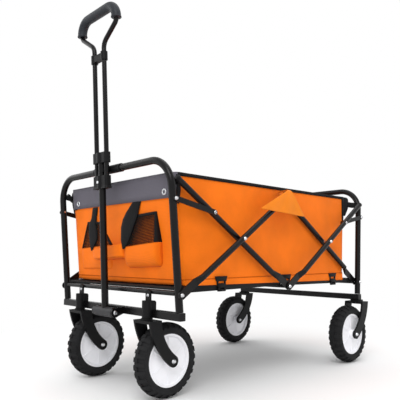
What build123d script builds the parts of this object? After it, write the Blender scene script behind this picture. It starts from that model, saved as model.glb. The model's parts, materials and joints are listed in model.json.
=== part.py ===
"""Folding utility wagon: fabric tub in a scissor-linked frame, swivel casters, telescopic pull handle."""
import os
from math import cos, hypot, radians, sin, sqrt, tan

from build123d import *

os.makedirs("parts", exist_ok=True)

# Driving dimensions of the frame, in millimetres; Y = 0 is the middle of the whole object
FRAME_WIDTH = 500
FRAME_LENGTH = 785
FRONT_BAR_Y = -369.51
BAR_HEIGHT = 200
FRAME_TOP = 560
LEG_LEAN = 5
LEG_TUBE = 18
LEG_BEND = 68
LEG_FOOT_GAP = 0.9
BASE_TUBE = 12
BASE_TUBE_HEIGHT = 252

# Scissor links; pairs are (front, rear): the rising link is the outer one in front, the falling one behind
LINK_TUBE = 15
LINK_ANGLE = 33
CROSS_INSET = 196.5
CROSS_HEIGHT = 379
LUG_WIDTH = 20
LUG_THICK = 3.4
LUG_FLAT = 50
LEG_LUG_FLAT = (50, 68)
CRIMP = 22
FALLING_TOP = (248, 232)
RISING_LAYER = (267, 247)
FALLING_LAYER = (251, 270.7)
TOP_JOINT = 257
BOTTOM_JOINT = 261
LAP_STEP = 2
STAY_HEIGHT = 465
STAY_REACH = 112
STAY_WIDTH = 13
STAY_THICK = 3
WASHER_GAP = 0.6
CENTRE_TUBE = 10
BOLT = 6
BOLT_HEAD = 9.6
BOLT_HEAD_HEIGHT = 3
BOLT_THREAD = 30
BOLT_TAIL = 1
DOME_TAPER = 30
PIVOT_CLEARANCE = 0.08

# Wheels and forks
WHEEL_RADIUS = 88
TYRE_WIDTH = 42
TREAD_DEPTH = 3
TREAD_LUGS = 28
TREAD_LUG_WIDTH = 9
TREAD_LAP = 4
HUB_RADIUS = 62
HUB_RIM_WIDTH = 33
HUB_RIBS = 6
AXLE = 8
AXLE_HEAD = 11.5
FORK_INSIDE = 52
FORK_WALL = 6
FORK_TOP = 186
FORK_BRIDGE = 7
FORK_EYE = 14
CASTER_X = 152
CASTER_STEM_LEAD = 17
CASTER_TRAIL = 57
STEM = 12
STEM_TOP = 228
HOUSING_RADIUS = 12
HOUSING_WIDTH = 20
HOUSING_TOP = 231
HOUSING_TAB = 18
RIVET_HEAD = 8
REAR_WHEEL_X = 247
REAR_TRAIL = 64

# Pull handle
HANDLE_PIVOT_LEAD = 33
HANDLE_PIVOT_HEIGHT = 195
HANDLE_LEAN = 3
BARREL = 25
BARREL_LENGTH = 80
EAR_WALL = 5
EAR_RADIUS = 12
HANDLE_TUBE = 18
HANDLE_TUBE_TOP = 396
ROD = 12.5
ROD_SPACING = 45.5
COLLAR_WIDTH = 63
COLLAR_DEPTH = 19
COLLAR_CORNER = 7
COLLAR_BOSS = 27
GUIDE_COLLAR = (381, 408)
SLIDE_COLLAR = (314, 347)
COLLAR_LIP = 3
COLLAR_FLARE = 14
ROD_END = 326
HANDLE_CLAMP = (651, 673)
CLAMP_SLEEVE = 18.5
LOOP_HALF = 82
LOOP_NECK = 696
LOOP_SHOULDER = 737
LOOP_TOP = 783
LOOP_BEND = 34
GRIP = 25
GRIP_START = 745
SLIDE_CLEARANCE = 0.3
FIT_CLEARANCE = 0.04
BUTTON = 8
BUTTON_STANDS_OUT = 2
BUTTON_DEPTH = 1.2
CLIP_WIDTH = 120
CLIP_SLEEVE = 22
JAW_RADIUS = 13
JAW_HEIGHT = 18

# Fabric tub
TUB_HALF_WIDTH = 234
TUB_CLOTH = 5
TUB_RIM = 531
TUB_HEM = 266
TUB_FRONT_INSET = (20, -5.4)
TUB_REAR_INSET = (56, 34.7)
FLOOR_THICK = 6
FLOOR_PAD = 2
PAD_GAP = 1
SEAM_GAP = 0.3
POCKET_DEPTH = 28
POCKET_WALL = 3
POCKET_BOW = 8
POCKET_BEVEL = 12

# Places worked out from the driving dimensions
REAR_BAR_Y = FRONT_BAR_Y + FRAME_LENGTH
HALF_WIDTH = FRAME_WIDTH / 2
HALF_BAR = LEG_TUBE / 2
LEG_LENGTH = (FRAME_TOP - BAR_HEIGHT) / cos(radians(LEG_LEAN))
LEG_OUTSIDE = HALF_WIDTH + LEG_TUBE / 2 + WASHER_GAP
LEG_INSIDE = HALF_WIDTH - LEG_TUBE / 2 - WASHER_GAP
REAR_TUBE_HALF = LEG_INSIDE - LUG_THICK - WASHER_GAP
FORK_OUTSIDE = FORK_INSIDE / 2 + FORK_WALL
FRONT, REAR = -1, 1
LEFT, RIGHT = -1, 1
SIDES = (LEFT, RIGHT)


def inset(end, distance):
    """Y of a point this far inwards from the crossbar at one end."""
    bar = FRONT_BAR_Y if end == FRONT else REAR_BAR_Y
    return bar - end * distance


def pick(pair, end):
    """The value for one end out of a (front, rear) pair."""
    return pair[0] if end == FRONT else pair[1]


def leg_inset(height):
    """Inward distance of the leaning leg's axis at a height; negative because the leg leans outwards."""
    return -(height - BAR_HEIGHT) * tan(radians(LEG_LEAN))


def leg_crossing():
    """Height where the rising link's line meets the leg."""
    slope = tan(radians(LINK_ANGLE))
    lean = tan(radians(LEG_LEAN))
    return (CROSS_HEIGHT - slope * CROSS_INSET + slope * lean * BAR_HEIGHT) / (1 + slope * lean)


# Pivots of one side as (inward distance, height), shared by both ends
RISE = (FRAME_LENGTH / 2 - CROSS_INSET) * tan(radians(LINK_ANGLE))
LEG_PIVOT = (leg_inset(leg_crossing()), leg_crossing())
CROSS_PIVOT = (CROSS_INSET, CROSS_HEIGHT)
TOP_PIVOT = (FRAME_LENGTH / 2, CROSS_HEIGHT + RISE)
BOTTOM_PIVOT = (FRAME_LENGTH / 2, CROSS_HEIGHT - RISE)
STAY_LEG = (leg_inset(STAY_HEIGHT), STAY_HEIGHT)
STAY_LINK = (
    CROSS_INSET - STAY_REACH * cos(radians(LINK_ANGLE)),
    CROSS_HEIGHT + STAY_REACH * sin(radians(LINK_ANGLE)),
)

# Handle axis: local Z runs up the handle and local Y points to the rear
HANDLE_AXIS = Plane(
    origin=(0, FRONT_BAR_Y - HANDLE_PIVOT_LEAD, HANDLE_PIVOT_HEIGHT),
    x_dir=(1, 0, 0),
    z_dir=(0, -sin(radians(HANDLE_LEAN)), cos(radians(HANDLE_LEAN))),
)
# Plane through both rods, facing forwards, with local Y up the handle
LOOP_PLANE = Plane(origin=HANDLE_AXIS.origin, x_dir=(1, 0, 0), z_dir=-HANDLE_AXIS.y_dir)
ROD_PLACES = ((-ROD_SPACING / 2, 0), (ROD_SPACING / 2, 0))


def save(piece, name):
    """Label a finished piece and write it."""
    piece.label = name
    export_step(piece, f"parts/{name}.step")


def side_name(side):
    """Word for one side of the wagon."""
    return "left" if side == LEFT else "right"


def end_name(end):
    """Word for one end of the wagon."""
    return "front" if end == FRONT else "rear"


def across(y, z, x=0.0):
    """Plane facing +X through one point, with local X along Y and local Y along Z."""
    return Plane(origin=(x, y, z), x_dir=(0, 1, 0), z_dir=(1, 0, 0))


def pivot_points(end, pivots):
    """The (Y, Z) places of some pivots at one end."""
    return [(inset(end, pivot[0]), pivot[1]) for pivot in pivots]


def bolts(runs):
    """Domed bolts along X on both sides; each run is a (Y, Z) place, an inner and an outer distance."""
    with BuildPart() as group:
        for (y, z), inner, outer in runs:
            for side in SIDES:
                with BuildSketch(across(y, z, side * inner)):
                    Circle(BOLT / 2)
                extrude(amount=side * (outer - inner))
                with BuildSketch(across(y, z, side * outer)):
                    Circle(BOLT_HEAD / 2)
                extrude(amount=side * BOLT_HEAD_HEIGHT, taper=DOME_TAPER)
    return group.part


# Bent end frames: an inverted U of round tube, leaning outwards
def end_frame(end):
    """The U of one end, with the holes for its pivot bolts."""
    lean = radians(LEG_LEAN)
    plane = Plane(
        origin=(0, inset(end, 0), BAR_HEIGHT),
        x_dir=(1, 0, 0),
        z_dir=(0, -cos(lean), end * sin(lean)),
    )
    foot = HALF_BAR + LEG_FOOT_GAP
    with BuildPart() as tube:
        with BuildLine(plane) as route:
            FilletPolyline(
                (-HALF_WIDTH, foot),
                (-HALF_WIDTH, LEG_LENGTH),
                (HALF_WIDTH, LEG_LENGTH),
                (HALF_WIDTH, foot),
                radius=LEG_BEND,
            )
        with BuildSketch(Plane(origin=route.line @ 0, z_dir=route.line % 0)):
            Circle(LEG_TUBE / 2)
        sweep()
        with BuildSketch(across(0, 0, -FRAME_WIDTH)):
            with Locations(*pivot_points(end, (LEG_PIVOT, STAY_LEG))):
                Circle(BOLT / 2)
        extrude(amount=2 * FRAME_WIDTH, mode=Mode.SUBTRACT)
    save(tube.part, f"{end_name(end)}_frame_tube")


# Square crossbar under the legs, and the round tube that carries the floor cloth
def crossbar(end):
    """Square tube from foot to foot."""
    length = FRAME_WIDTH + LEG_TUBE
    corner = 2
    with BuildPart() as bar:
        with BuildSketch(across(inset(end, 0), BAR_HEIGHT, -length / 2)):
            RectangleRounded(LEG_TUBE, LEG_TUBE, corner)
        extrude(amount=length)
    save(bar.part, f"{end_name(end)}_crossbar")


def base_tube(end):
    """Thin tube under the floor: between the legs in front, between the bolts of the rising links behind."""
    front_place = (leg_inset(BASE_TUBE_HEIGHT), BASE_TUBE_HEIGHT)
    front_half = HALF_WIDTH - LEG_TUBE / 2 - 0.2
    place = pivot_points(end, [pick((front_place, LEG_PIVOT), end)])[0]
    half = pick((front_half, REAR_TUBE_HALF), end)
    with BuildPart() as tube:
        with BuildSketch(across(place[0], place[1], -half)):
            Circle(BASE_TUBE / 2)
            if end == REAR:
                Circle(BOLT / 2, mode=Mode.SUBTRACT)
        extrude(amount=2 * half)
    save(tube.part, f"{end_name(end)}_base_tube")


# Scissor links: round tube, crimped flat into a lug at each pivoted end
def along_link(pivot, towards, distance, x):
    """Point this far from a pivot along a link."""
    return (x, pivot[0] + towards[0] * distance, pivot[1] + towards[1] * distance)


def falling_end(end):
    """Free upper end of a falling link, as inward distance and height."""
    angle = radians(LINK_ANGLE)
    top = pick(FALLING_TOP, end)
    return (CROSS_INSET - top * cos(angle), CROSS_HEIGHT + top * sin(angle))


def crimped_end(pivot, towards, tube_x, lug_x, flat):
    """Lug and crimp at one pivot of a link that runs along the unit vector towards."""
    facing = (0, towards[0], towards[1])
    half = LUG_WIDTH / 2
    lug_plane = Plane(
        origin=(lug_x - LUG_THICK / 2, pivot[0], pivot[1]),
        x_dir=facing,
        z_dir=(1, 0, 0),
    )
    flat_end = along_link(pivot, towards, flat, lug_x)
    round_end = along_link(pivot, towards, flat + CRIMP, tube_x)
    with BuildPart() as lug:
        with BuildSketch(lug_plane):
            Circle(half)
            with Locations((flat / 2, 0)):
                Rectangle(flat, LUG_WIDTH)
        extrude(amount=LUG_THICK)
        with BuildSketch(Plane(origin=flat_end, x_dir=(1, 0, 0), z_dir=facing)):
            RectangleRounded(LUG_THICK, LUG_WIDTH, LUG_THICK / 2 - 0.05)
        with BuildSketch(Plane(origin=round_end, x_dir=(1, 0, 0), z_dir=facing)):
            RectangleRounded(LINK_TUBE, LINK_TUBE + 0.1, LINK_TUBE / 2 - 0.05)
        loft()
    return lug.part


def link(end, side, name, ends, tube_x, lug_ends, holes, rivet=None):
    """One link between two pivots; a lug end is an (X, flat length) pair, or None for a plain tube end."""
    first, last = pivot_points(end, ends)
    length = hypot(last[0] - first[0], last[1] - first[1])
    towards = ((last[0] - first[0]) / length, (last[1] - first[1]) / length)
    backwards = (-towards[0], -towards[1])
    lug_x, flat = lug_ends[1]
    lugs = [crimped_end(last, backwards, side * tube_x, side * lug_x, flat)]
    start, stop = 0, length - flat - CRIMP
    if lug_ends[0]:
        lug_x, flat = lug_ends[0]
        lugs.append(crimped_end(first, towards, side * tube_x, side * lug_x, flat))
        start = flat + CRIMP
    begin = along_link(first, towards, start, side * tube_x)
    with BuildPart() as piece:
        with BuildSketch(Plane(origin=begin, x_dir=(1, 0, 0), z_dir=(0, towards[0], towards[1]))):
            Circle(LINK_TUBE / 2)
        extrude(amount=stop - start)
        add(lugs)
        for pivot, radius in holes:
            with BuildSketch(across(inset(end, pivot[0]), pivot[1], side * tube_x - LINK_TUBE)):
                Circle(radius)
            extrude(amount=2 * LINK_TUBE, mode=Mode.SUBTRACT)
        if rivet:
            with BuildSketch(across(inset(end, rivet[0]), rivet[1], side * tube_x)):
                Circle(BOLT_HEAD / 2)
            extrude(amount=side * LINK_TUBE / 2)
            with BuildSketch(across(inset(end, rivet[0]), rivet[1], side * (tube_x + LINK_TUBE / 2))):
                Circle(BOLT_HEAD / 2)
            extrude(amount=side * BOLT_HEAD_HEIGHT, taper=DOME_TAPER)
    save(piece.part, f"{name}_{end_name(end)}_{side_name(side)}")


def link_pair(end):
    """The rising and the falling link on both sides at one end of the wagon."""
    tight = BOLT / 2
    loose = BOLT / 2 + PIVOT_CLEARANCE
    centre_hole = pick((tight, loose), end)
    leg_lug = pick((LEG_OUTSIDE + LUG_THICK / 2, LEG_INSIDE - LUG_THICK / 2), end)
    for side in SIDES:
        link(
            end,
            side,
            "rising_link",
            (LEG_PIVOT, TOP_PIVOT),
            pick(RISING_LAYER, end),
            ((leg_lug, pick(LEG_LUG_FLAT, end)), (TOP_JOINT - end * LAP_STEP, LUG_FLAT)),
            ((LEG_PIVOT, loose), (CROSS_PIVOT, tight), (TOP_PIVOT, centre_hole)),
        )
        link(
            end,
            side,
            "falling_link",
            (falling_end(end), BOTTOM_PIVOT),
            pick(FALLING_LAYER, end),
            (None, (BOTTOM_JOINT + end * LAP_STEP, LUG_FLAT)),
            ((CROSS_PIVOT, loose), (BOTTOM_PIVOT, centre_hole)),
            pick((None, STAY_LINK), end),
        )


def stays(end):
    """Flat bars from the leg to the falling link, outside it in front, where they end in a rivet head."""
    leg, joint = pivot_points(end, (STAY_LEG, STAY_LINK))
    reach = (joint[0] - leg[0], joint[1] - leg[1])
    with BuildPart() as bars:
        for side in SIDES:
            with BuildSketch(across(leg[0], leg[1], side * LEG_OUTSIDE)):
                SlotCenterPoint((reach[0] / 2, reach[1] / 2), reach, STAY_WIDTH)
                Circle(BOLT / 2 + PIVOT_CLEARANCE, mode=Mode.SUBTRACT)
            extrude(amount=side * STAY_THICK)
            if end == FRONT:
                with BuildSketch(across(joint[0], joint[1], side * (LEG_OUTSIDE + STAY_THICK))):
                    Circle(BOLT_HEAD / 2)
                extrude(amount=side * BOLT_HEAD_HEIGHT, taper=DOME_TAPER)
    save(bars.part, f"{end_name(end)}_stays")


def link_bolts(end):
    """Bolts that pin links and stays to the legs, and those through the crossings and the top centre."""
    inside = HALF_WIDTH - LEG_TUBE / 2 + 0.5
    outside = LEG_OUTSIDE + LUG_THICK + 0.4
    leg, stay = pivot_points(end, (LEG_PIVOT, STAY_LEG))
    leg_run = pick(((inside, outside), (REAR_TUBE_HALF - BOLT_THREAD, LEG_OUTSIDE - WASHER_GAP / 2)), end)
    save(bolts([(leg, *leg_run), (stay, inside, outside)]), f"{end_name(end)}_pivot_bolts")
    crossing, top = pivot_points(end, (CROSS_PIVOT, TOP_PIVOT))
    layers = (pick(RISING_LAYER, end), pick(FALLING_LAYER, end))
    runs = [(crossing, min(layers) - LINK_TUBE / 2 - BOLT_TAIL, max(layers) + LINK_TUBE / 2)]
    if end == FRONT:
        runs.append((top, TOP_JOINT - 5, TOP_JOINT + 4.5))
    save(bolts(runs), f"{end_name(end)}_scissor_bolts")


# Cross tube that ties the bottom centre joints and carries the middle of the floor
def centre_tube():
    """Hollow cross tube and the bolt screwed into each of its ends."""
    place = pivot_points(FRONT, (BOTTOM_PIVOT,))[0]
    half = BOTTOM_JOINT - LAP_STEP - LUG_THICK / 2
    with BuildPart() as tube:
        with BuildSketch(across(place[0], place[1], -half)):
            Circle(CENTRE_TUBE / 2)
            Circle(BOLT / 2, mode=Mode.SUBTRACT)
        extrude(amount=2 * half)
    save(tube.part, "centre_cross_tube")
    save(bolts([(place, half - BOLT_THREAD, BOTTOM_JOINT + 4.5)]), "centre_bolts")


# Wheel, modelled about its own axle along Z
def tyre_shape():
    """Tyre with a crowned tread: two rows of lugs that interlock across the middle."""
    half = TYRE_WIDTH / 2
    seat = HUB_RADIUS
    bead = HUB_RIM_WIDTH / 2
    crown = WHEEL_RADIUS - TREAD_DEPTH
    shoulder = crown - 9
    with BuildPart() as lug:
        with BuildSketch(Plane.XZ):
            Polygon(
                (shoulder - 4, half - 3),
                (shoulder + TREAD_DEPTH, half),
                (WHEEL_RADIUS - 2, half - 9),
                (WHEEL_RADIUS, half - 16),
                (WHEEL_RADIUS, -TREAD_LAP),
                (shoulder - 4, -TREAD_LAP),
                align=None,
            )
        extrude(amount=TREAD_LUG_WIDTH / 2, both=True)
    facing_lug = mirror(lug.part, about=Plane.XY)
    with BuildPart() as tyre:
        with BuildSketch(Plane.XZ):
            Polygon(
                (seat, -bead),
                (seat + 5, -half),
                (shoulder, -half),
                (crown - 2, 9 - half),
                (crown, 16 - half),
                (crown, half - 16),
                (crown - 2, half - 9),
                (shoulder, half),
                (seat + 5, half),
                (seat, bead),
                align=None,
            )
        revolve(axis=Axis.Z)
        with PolarLocations(0, TREAD_LUGS):
            add(lug.part)
        with PolarLocations(0, TREAD_LUGS, start_angle=180 / TREAD_LUGS):
            add(facing_lug)
    return tyre.part


def hub_shape():
    """Moulded hub: bored boss, dished web with fine radial ribs, and the rim that seats the tyre."""
    boss = FORK_INSIDE / 2 - 2
    bore = AXLE / 2 + PIVOT_CLEARANCE
    half_rim = HUB_RIM_WIDTH / 2
    web = 10.5
    rib = (42, 2.6, 2 * web + 5)
    with BuildPart() as hub:
        with BuildSketch(Plane.XZ):
            Polygon(
                (bore, -boss),
                (13, -boss),
                (14, -web - 2),
                (54, -web),
                (57, -half_rim),
                (HUB_RADIUS, -half_rim),
                (HUB_RADIUS, half_rim),
                (57, half_rim),
                (54, web),
                (14, web + 2),
                (13, boss),
                (bore, boss),
                align=None,
            )
        revolve(axis=Axis.Z)
        with PolarLocations(34.5, HUB_RIBS):
            Box(*rib)
    return hub.part


# Moulded fork: a bridge over the tyre and two arms that sweep to the axle
def fork_shape(trail, swivels):
    """Fork about a vertical axis at the origin, its axle this far behind the axis."""
    front, back = -16, 20
    eye = FORK_EYE / sqrt(2)
    gap_top = FORK_TOP - FORK_BRIDGE
    with BuildPart() as fork:
        with BuildSketch(across(0, 0, -FORK_OUTSIDE)):
            with BuildLine():
                Line((front, FORK_TOP), (back, FORK_TOP))
                ThreePointArc(
                    (back, FORK_TOP),
                    (0.56 * trail, 138),
                    (trail + eye, WHEEL_RADIUS + eye),
                )
                ThreePointArc(
                    (trail + eye, WHEEL_RADIUS + eye),
                    (trail + eye, WHEEL_RADIUS - eye),
                    (trail - eye, WHEEL_RADIUS - eye),
                )
                ThreePointArc(
                    (trail - eye, WHEEL_RADIUS - eye),
                    (0.12 * trail, 124),
                    (front, FORK_TOP),
                )
            make_face()
            with Locations((trail, WHEEL_RADIUS)):
                Circle(AXLE / 2, mode=Mode.SUBTRACT)
        extrude(amount=2 * FORK_OUTSIDE)
        with Locations((0, trail / 2, gap_top / 2)):
            Box(FORK_INSIDE, 4 * WHEEL_RADIUS, gap_top, mode=Mode.SUBTRACT)
        if swivels:
            with BuildSketch(Plane.XY.offset(FORK_TOP)):
                Circle(STEM / 2 + 8)
            extrude(amount=4.4)
            with BuildSketch(Plane.XY.offset(FORK_TOP)):
                Circle(STEM / 2)
            extrude(amount=STEM_TOP - FORK_TOP)
        else:
            with BuildSketch(Plane.XY.offset(FORK_TOP)):
                RectangleRounded(34, 28, 5)
            extrude(amount=BAR_HEIGHT - HALF_BAR - FORK_TOP)
    return fork.part


def axle_shape():
    """Axle bolt along X through a fork, with a domed head on each side."""
    head = 4
    with BuildPart() as axle:
        with BuildSketch(across(0, 0, -FORK_OUTSIDE)):
            Circle(AXLE / 2)
        extrude(amount=2 * FORK_OUTSIDE)
        for side in SIDES:
            with BuildSketch(across(0, 0, side * FORK_OUTSIDE)):
                Circle(AXLE_HEAD / 2)
            extrude(amount=side * head, taper=DOME_TAPER)
    return axle.part


def running_gear():
    """Forks, axles, hubs and tyres, each shaped once and copied to its places."""
    stem_y = inset(FRONT, -CASTER_STEM_LEAD)
    caster_fork = fork_shape(CASTER_TRAIL, True)
    rear_fork = fork_shape(REAR_TRAIL, False)
    axle = axle_shape()
    tyre = tyre_shape()
    hub = hub_shape()
    turn = Rot(0, 90, 0)
    axle_places = {
        "front": (CASTER_X, stem_y + CASTER_TRAIL),
        "rear": (REAR_WHEEL_X, inset(REAR, REAR_TRAIL)),
    }
    for side in SIDES:
        word = side_name(side)
        save(Pos(side * CASTER_X, stem_y, 0) * caster_fork, f"caster_fork_{word}")
        save(Pos(side * REAR_WHEEL_X, REAR_BAR_Y, 0) * Rot(0, 0, 180) * rear_fork, f"rear_fork_{word}")
        front_x, front_y = axle_places["front"]
        save(Pos(side * front_x, front_y, WHEEL_RADIUS) * axle, f"caster_axle_{word}")
        for end, (x, y) in axle_places.items():
            place = Pos(side * x, y, WHEEL_RADIUS) * turn
            save(place * tyre, f"tyre_{end}_{word}")
            save(place * hub, f"hub_{end}_{word}")
    rear_x, rear_y = axle_places["rear"]
    with BuildPart() as rear_axles:
        with Locations((-rear_x, rear_y, WHEEL_RADIUS), (rear_x, rear_y, WHEEL_RADIUS)):
            add(axle)
    save(rear_axles.part, "rear_axles")


def caster_housing(side):
    """Round bearing post with a saddle over the crossbar and a riveted tab up to the base tube."""
    x = side * CASTER_X
    stem_y = inset(FRONT, -CASTER_STEM_LEAD)
    bar_y = inset(FRONT, 0)
    bottom = BAR_HEIGHT - HALF_BAR
    height = HOUSING_TOP - bottom
    depth = CASTER_STEM_LEAD + 3
    saddle_corner = 6
    tab_top = BASE_TUBE_HEIGHT + 5
    tab_back = inset(FRONT, leg_inset(BASE_TUBE_HEIGHT)) - BASE_TUBE / 2 - 0.2
    tab_thick = 4.2
    rivet_height = HOUSING_TOP + 12
    with BuildPart() as housing:
        with BuildSketch(Plane.XY.offset(bottom)):
            with Locations((x, stem_y)):
                Circle(HOUSING_RADIUS)
        extrude(amount=height)
        with BuildSketch(across(stem_y, bottom, x - HOUSING_WIDTH / 2)) as saddle:
            with Locations((depth / 2, height / 2)):
                Rectangle(depth, height)
            fillet(saddle.vertices().sort_by(Axis.Y)[-2:].sort_by(Axis.X)[-1:], radius=saddle_corner)
        extrude(amount=HOUSING_WIDTH)
        with BuildSketch(Plane(origin=(x, tab_back, 0), x_dir=(1, 0, 0), z_dir=(0, -1, 0))):
            with Locations((0, (HOUSING_TOP + tab_top) / 2 - 6)):
                Rectangle(HOUSING_TAB, tab_top - HOUSING_TOP + 4)
            with Locations((0, tab_top - HOUSING_TAB / 2)):
                Circle(HOUSING_TAB / 2)
        extrude(amount=tab_thick)
        with BuildSketch(Plane(origin=(x, tab_back - tab_thick, 0), x_dir=(1, 0, 0), z_dir=(0, -1, 0))):
            with Locations((0, rivet_height)):
                Circle(RIVET_HEAD / 2)
        extrude(amount=2, taper=DOME_TAPER)
        with BuildSketch(across(bar_y, BAR_HEIGHT, x - 2 * HOUSING_RADIUS)):
            Rectangle(LEG_TUBE + 0.1, LEG_TUBE + 0.1)
        extrude(amount=4 * HOUSING_RADIUS, mode=Mode.SUBTRACT)
        with BuildSketch(Plane.XY.offset(bottom)):
            with Locations((x, stem_y)):
                Circle(STEM / 2 + PIVOT_CLEARANCE)
        extrude(amount=STEM_TOP + 0.5 - bottom, mode=Mode.SUBTRACT)
    save(housing.part, f"caster_housing_{side_name(side)}")


# Pull handle: hinged tube, telescopic rods bent into a loop, and a clip on the frame
def handle_bracket():
    """Two ears on the crossbar that carry the handle's pivot, and the pivot bolt."""
    y, z = HANDLE_AXIS.origin.Y, HANDLE_AXIS.origin.Z
    face = inset(FRONT, -HALF_BAR) - 0.05 - y
    start = BARREL_LENGTH / 2 + WASHER_GAP
    half = start + EAR_WALL
    with BuildPart() as ears:
        for side in SIDES:
            with BuildSketch(across(y, z, side * start)):
                Circle(EAR_RADIUS)
                Polygon((0, EAR_RADIUS), (face, 13), (face, -3.5), (0, -EAR_RADIUS), align=None)
                Circle(AXLE / 2, mode=Mode.SUBTRACT)
            extrude(amount=side * EAR_WALL)
    save(ears.part, "handle_bracket")
    with BuildPart() as pin:
        with BuildSketch(across(y, z, -half)):
            Circle(AXLE / 2)
        extrude(amount=2 * half)
        for side in SIDES:
            with BuildSketch(across(y, z, side * half)):
                Circle(AXLE_HEAD / 2)
            extrude(amount=side * BOLT_HEAD_HEIGHT, taper=DOME_TAPER)
    save(pin.part, "handle_pivot_bolt")


def handle_lower():
    """Pivot barrel, the fixed tube and the guide collar on top of it."""
    y, z = HANDLE_AXIS.origin.Y, HANDLE_AXIS.origin.Z
    with BuildPart() as barrel:
        with BuildSketch(across(y, z, -BARREL_LENGTH / 2)):
            Circle(BARREL / 2)
            Circle(AXLE / 2 + PIVOT_CLEARANCE, mode=Mode.SUBTRACT)
        extrude(amount=BARREL_LENGTH)
    save(barrel.part, "handle_barrel")
    with BuildPart() as tube:
        with BuildSketch(HANDLE_AXIS):
            Circle(HANDLE_TUBE / 2)
        extrude(amount=HANDLE_TUBE_TOP)
        with BuildSketch(across(y, z, -BARREL_LENGTH / 2)):
            Circle(BARREL / 2)
        extrude(amount=BARREL_LENGTH, mode=Mode.SUBTRACT)
    save(tube.part, "handle_tube")
    bottom, top = GUIDE_COLLAR
    with BuildPart() as collar:
        with BuildSketch(HANDLE_AXIS.offset(bottom)):
            RectangleRounded(COLLAR_WIDTH, COLLAR_DEPTH, COLLAR_CORNER)
            Circle(COLLAR_BOSS / 2)
            with Locations(*ROD_PLACES):
                Circle(ROD / 2 + SLIDE_CLEARANCE, mode=Mode.SUBTRACT)
        extrude(amount=top - bottom)
        with BuildSketch(HANDLE_AXIS.offset(bottom)):
            Circle(HANDLE_TUBE / 2 + FIT_CLEARANCE)
        extrude(amount=HANDLE_TUBE_TOP - bottom, mode=Mode.SUBTRACT)
    save(collar.part, "guide_collar")


def handle_loop():
    """Rods bent into one loop, and the foam grip on its top."""
    half = ROD_SPACING / 2
    with BuildPart() as loop:
        with BuildLine(LOOP_PLANE) as route:
            FilletPolyline(
                (half, ROD_END),
                (half, LOOP_NECK),
                (LOOP_HALF, LOOP_SHOULDER),
                (LOOP_HALF, LOOP_TOP),
                (-LOOP_HALF, LOOP_TOP),
                (-LOOP_HALF, LOOP_SHOULDER),
                (-half, LOOP_NECK),
                (-half, ROD_END),
                radius=[28, 15, LOOP_BEND, LOOP_BEND, 15, 28],
            )
        with BuildSketch(Plane(origin=route.line @ 0, z_dir=route.line % 0)):
            Circle(ROD / 2)
        sweep()
    save(loop.part, "handle_loop")
    with BuildPart() as grip:
        with BuildLine(LOOP_PLANE) as bend:
            FilletPolyline(
                (LOOP_HALF, GRIP_START),
                (LOOP_HALF, LOOP_TOP),
                (-LOOP_HALF, LOOP_TOP),
                (-LOOP_HALF, GRIP_START),
                radius=LOOP_BEND,
            )
        with BuildSketch(Plane(origin=bend.line @ 0, z_dir=bend.line % 0)):
            Circle(GRIP / 2)
            Circle(ROD / 2 + FIT_CLEARANCE, mode=Mode.SUBTRACT)
        sweep()
    save(grip.part, "handle_grip")


def rod_fittings():
    """Clamp that ties the rods below the loop, and the collar that slides on the handle tube."""
    bottom, top = HANDLE_CLAMP
    web_bottom, web_top = bottom + 2, top - 3
    web_depth = 14
    with BuildPart() as clamp:
        with BuildSketch(HANDLE_AXIS.offset(bottom)):
            with Locations(*ROD_PLACES):
                Circle(CLAMP_SLEEVE / 2)
        extrude(amount=top - bottom)
        with BuildSketch(HANDLE_AXIS.offset(web_bottom)):
            Rectangle(ROD_SPACING, web_depth)
        extrude(amount=web_top - web_bottom)
        with BuildSketch(HANDLE_AXIS.offset(bottom)):
            with Locations(*ROD_PLACES):
                Circle(ROD / 2 + FIT_CLEARANCE)
        extrude(amount=top - bottom, mode=Mode.SUBTRACT)
    save(clamp.part, "handle_clamp")
    low, high = SLIDE_COLLAR
    with BuildPart() as collar:
        with BuildSketch(HANDLE_AXIS.offset(low)):
            RectangleRounded(COLLAR_WIDTH, COLLAR_DEPTH, COLLAR_CORNER)
            Circle(COLLAR_BOSS / 2)
        extrude(amount=high - low)
        with BuildSketch(HANDLE_AXIS.offset(low)):
            RectangleRounded(COLLAR_WIDTH + COLLAR_LIP, COLLAR_DEPTH + COLLAR_LIP, COLLAR_CORNER)
        extrude(amount=2 * COLLAR_LIP, taper=COLLAR_FLARE)
        with BuildSketch(HANDLE_AXIS.offset(low)):
            Circle(HANDLE_TUBE / 2 + SLIDE_CLEARANCE)
        extrude(amount=high - low, mode=Mode.SUBTRACT)
        with BuildSketch(HANDLE_AXIS.offset(ROD_END)):
            with Locations(*ROD_PLACES):
                Circle(ROD / 2 + FIT_CLEARANCE)
        extrude(amount=high - ROD_END, mode=Mode.SUBTRACT)
        with BuildSketch(LOOP_PLANE):
            with Locations((0, (low + high) / 2)):
                Circle(BUTTON / 2 + SLIDE_CLEARANCE)
        extrude(amount=COLLAR_BOSS, mode=Mode.SUBTRACT)
    save(collar.part, "slide_collar")


def lock_button():
    """Push button that frees the telescopic slide."""
    back = COLLAR_BOSS / 2 - BUTTON_DEPTH
    with BuildPart() as button:
        with BuildSketch(LOOP_PLANE.offset(back)):
            with Locations((0, (SLIDE_COLLAR[0] + SLIDE_COLLAR[1]) / 2)):
                Circle(BUTTON / 2)
        extrude(amount=BUTTON_DEPTH + BUTTON_STANDS_OUT)
        fillet(button.faces().sort_by(Axis.Y)[0].edges(), radius=1.2)
    save(button.part, "lock_button")


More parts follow.
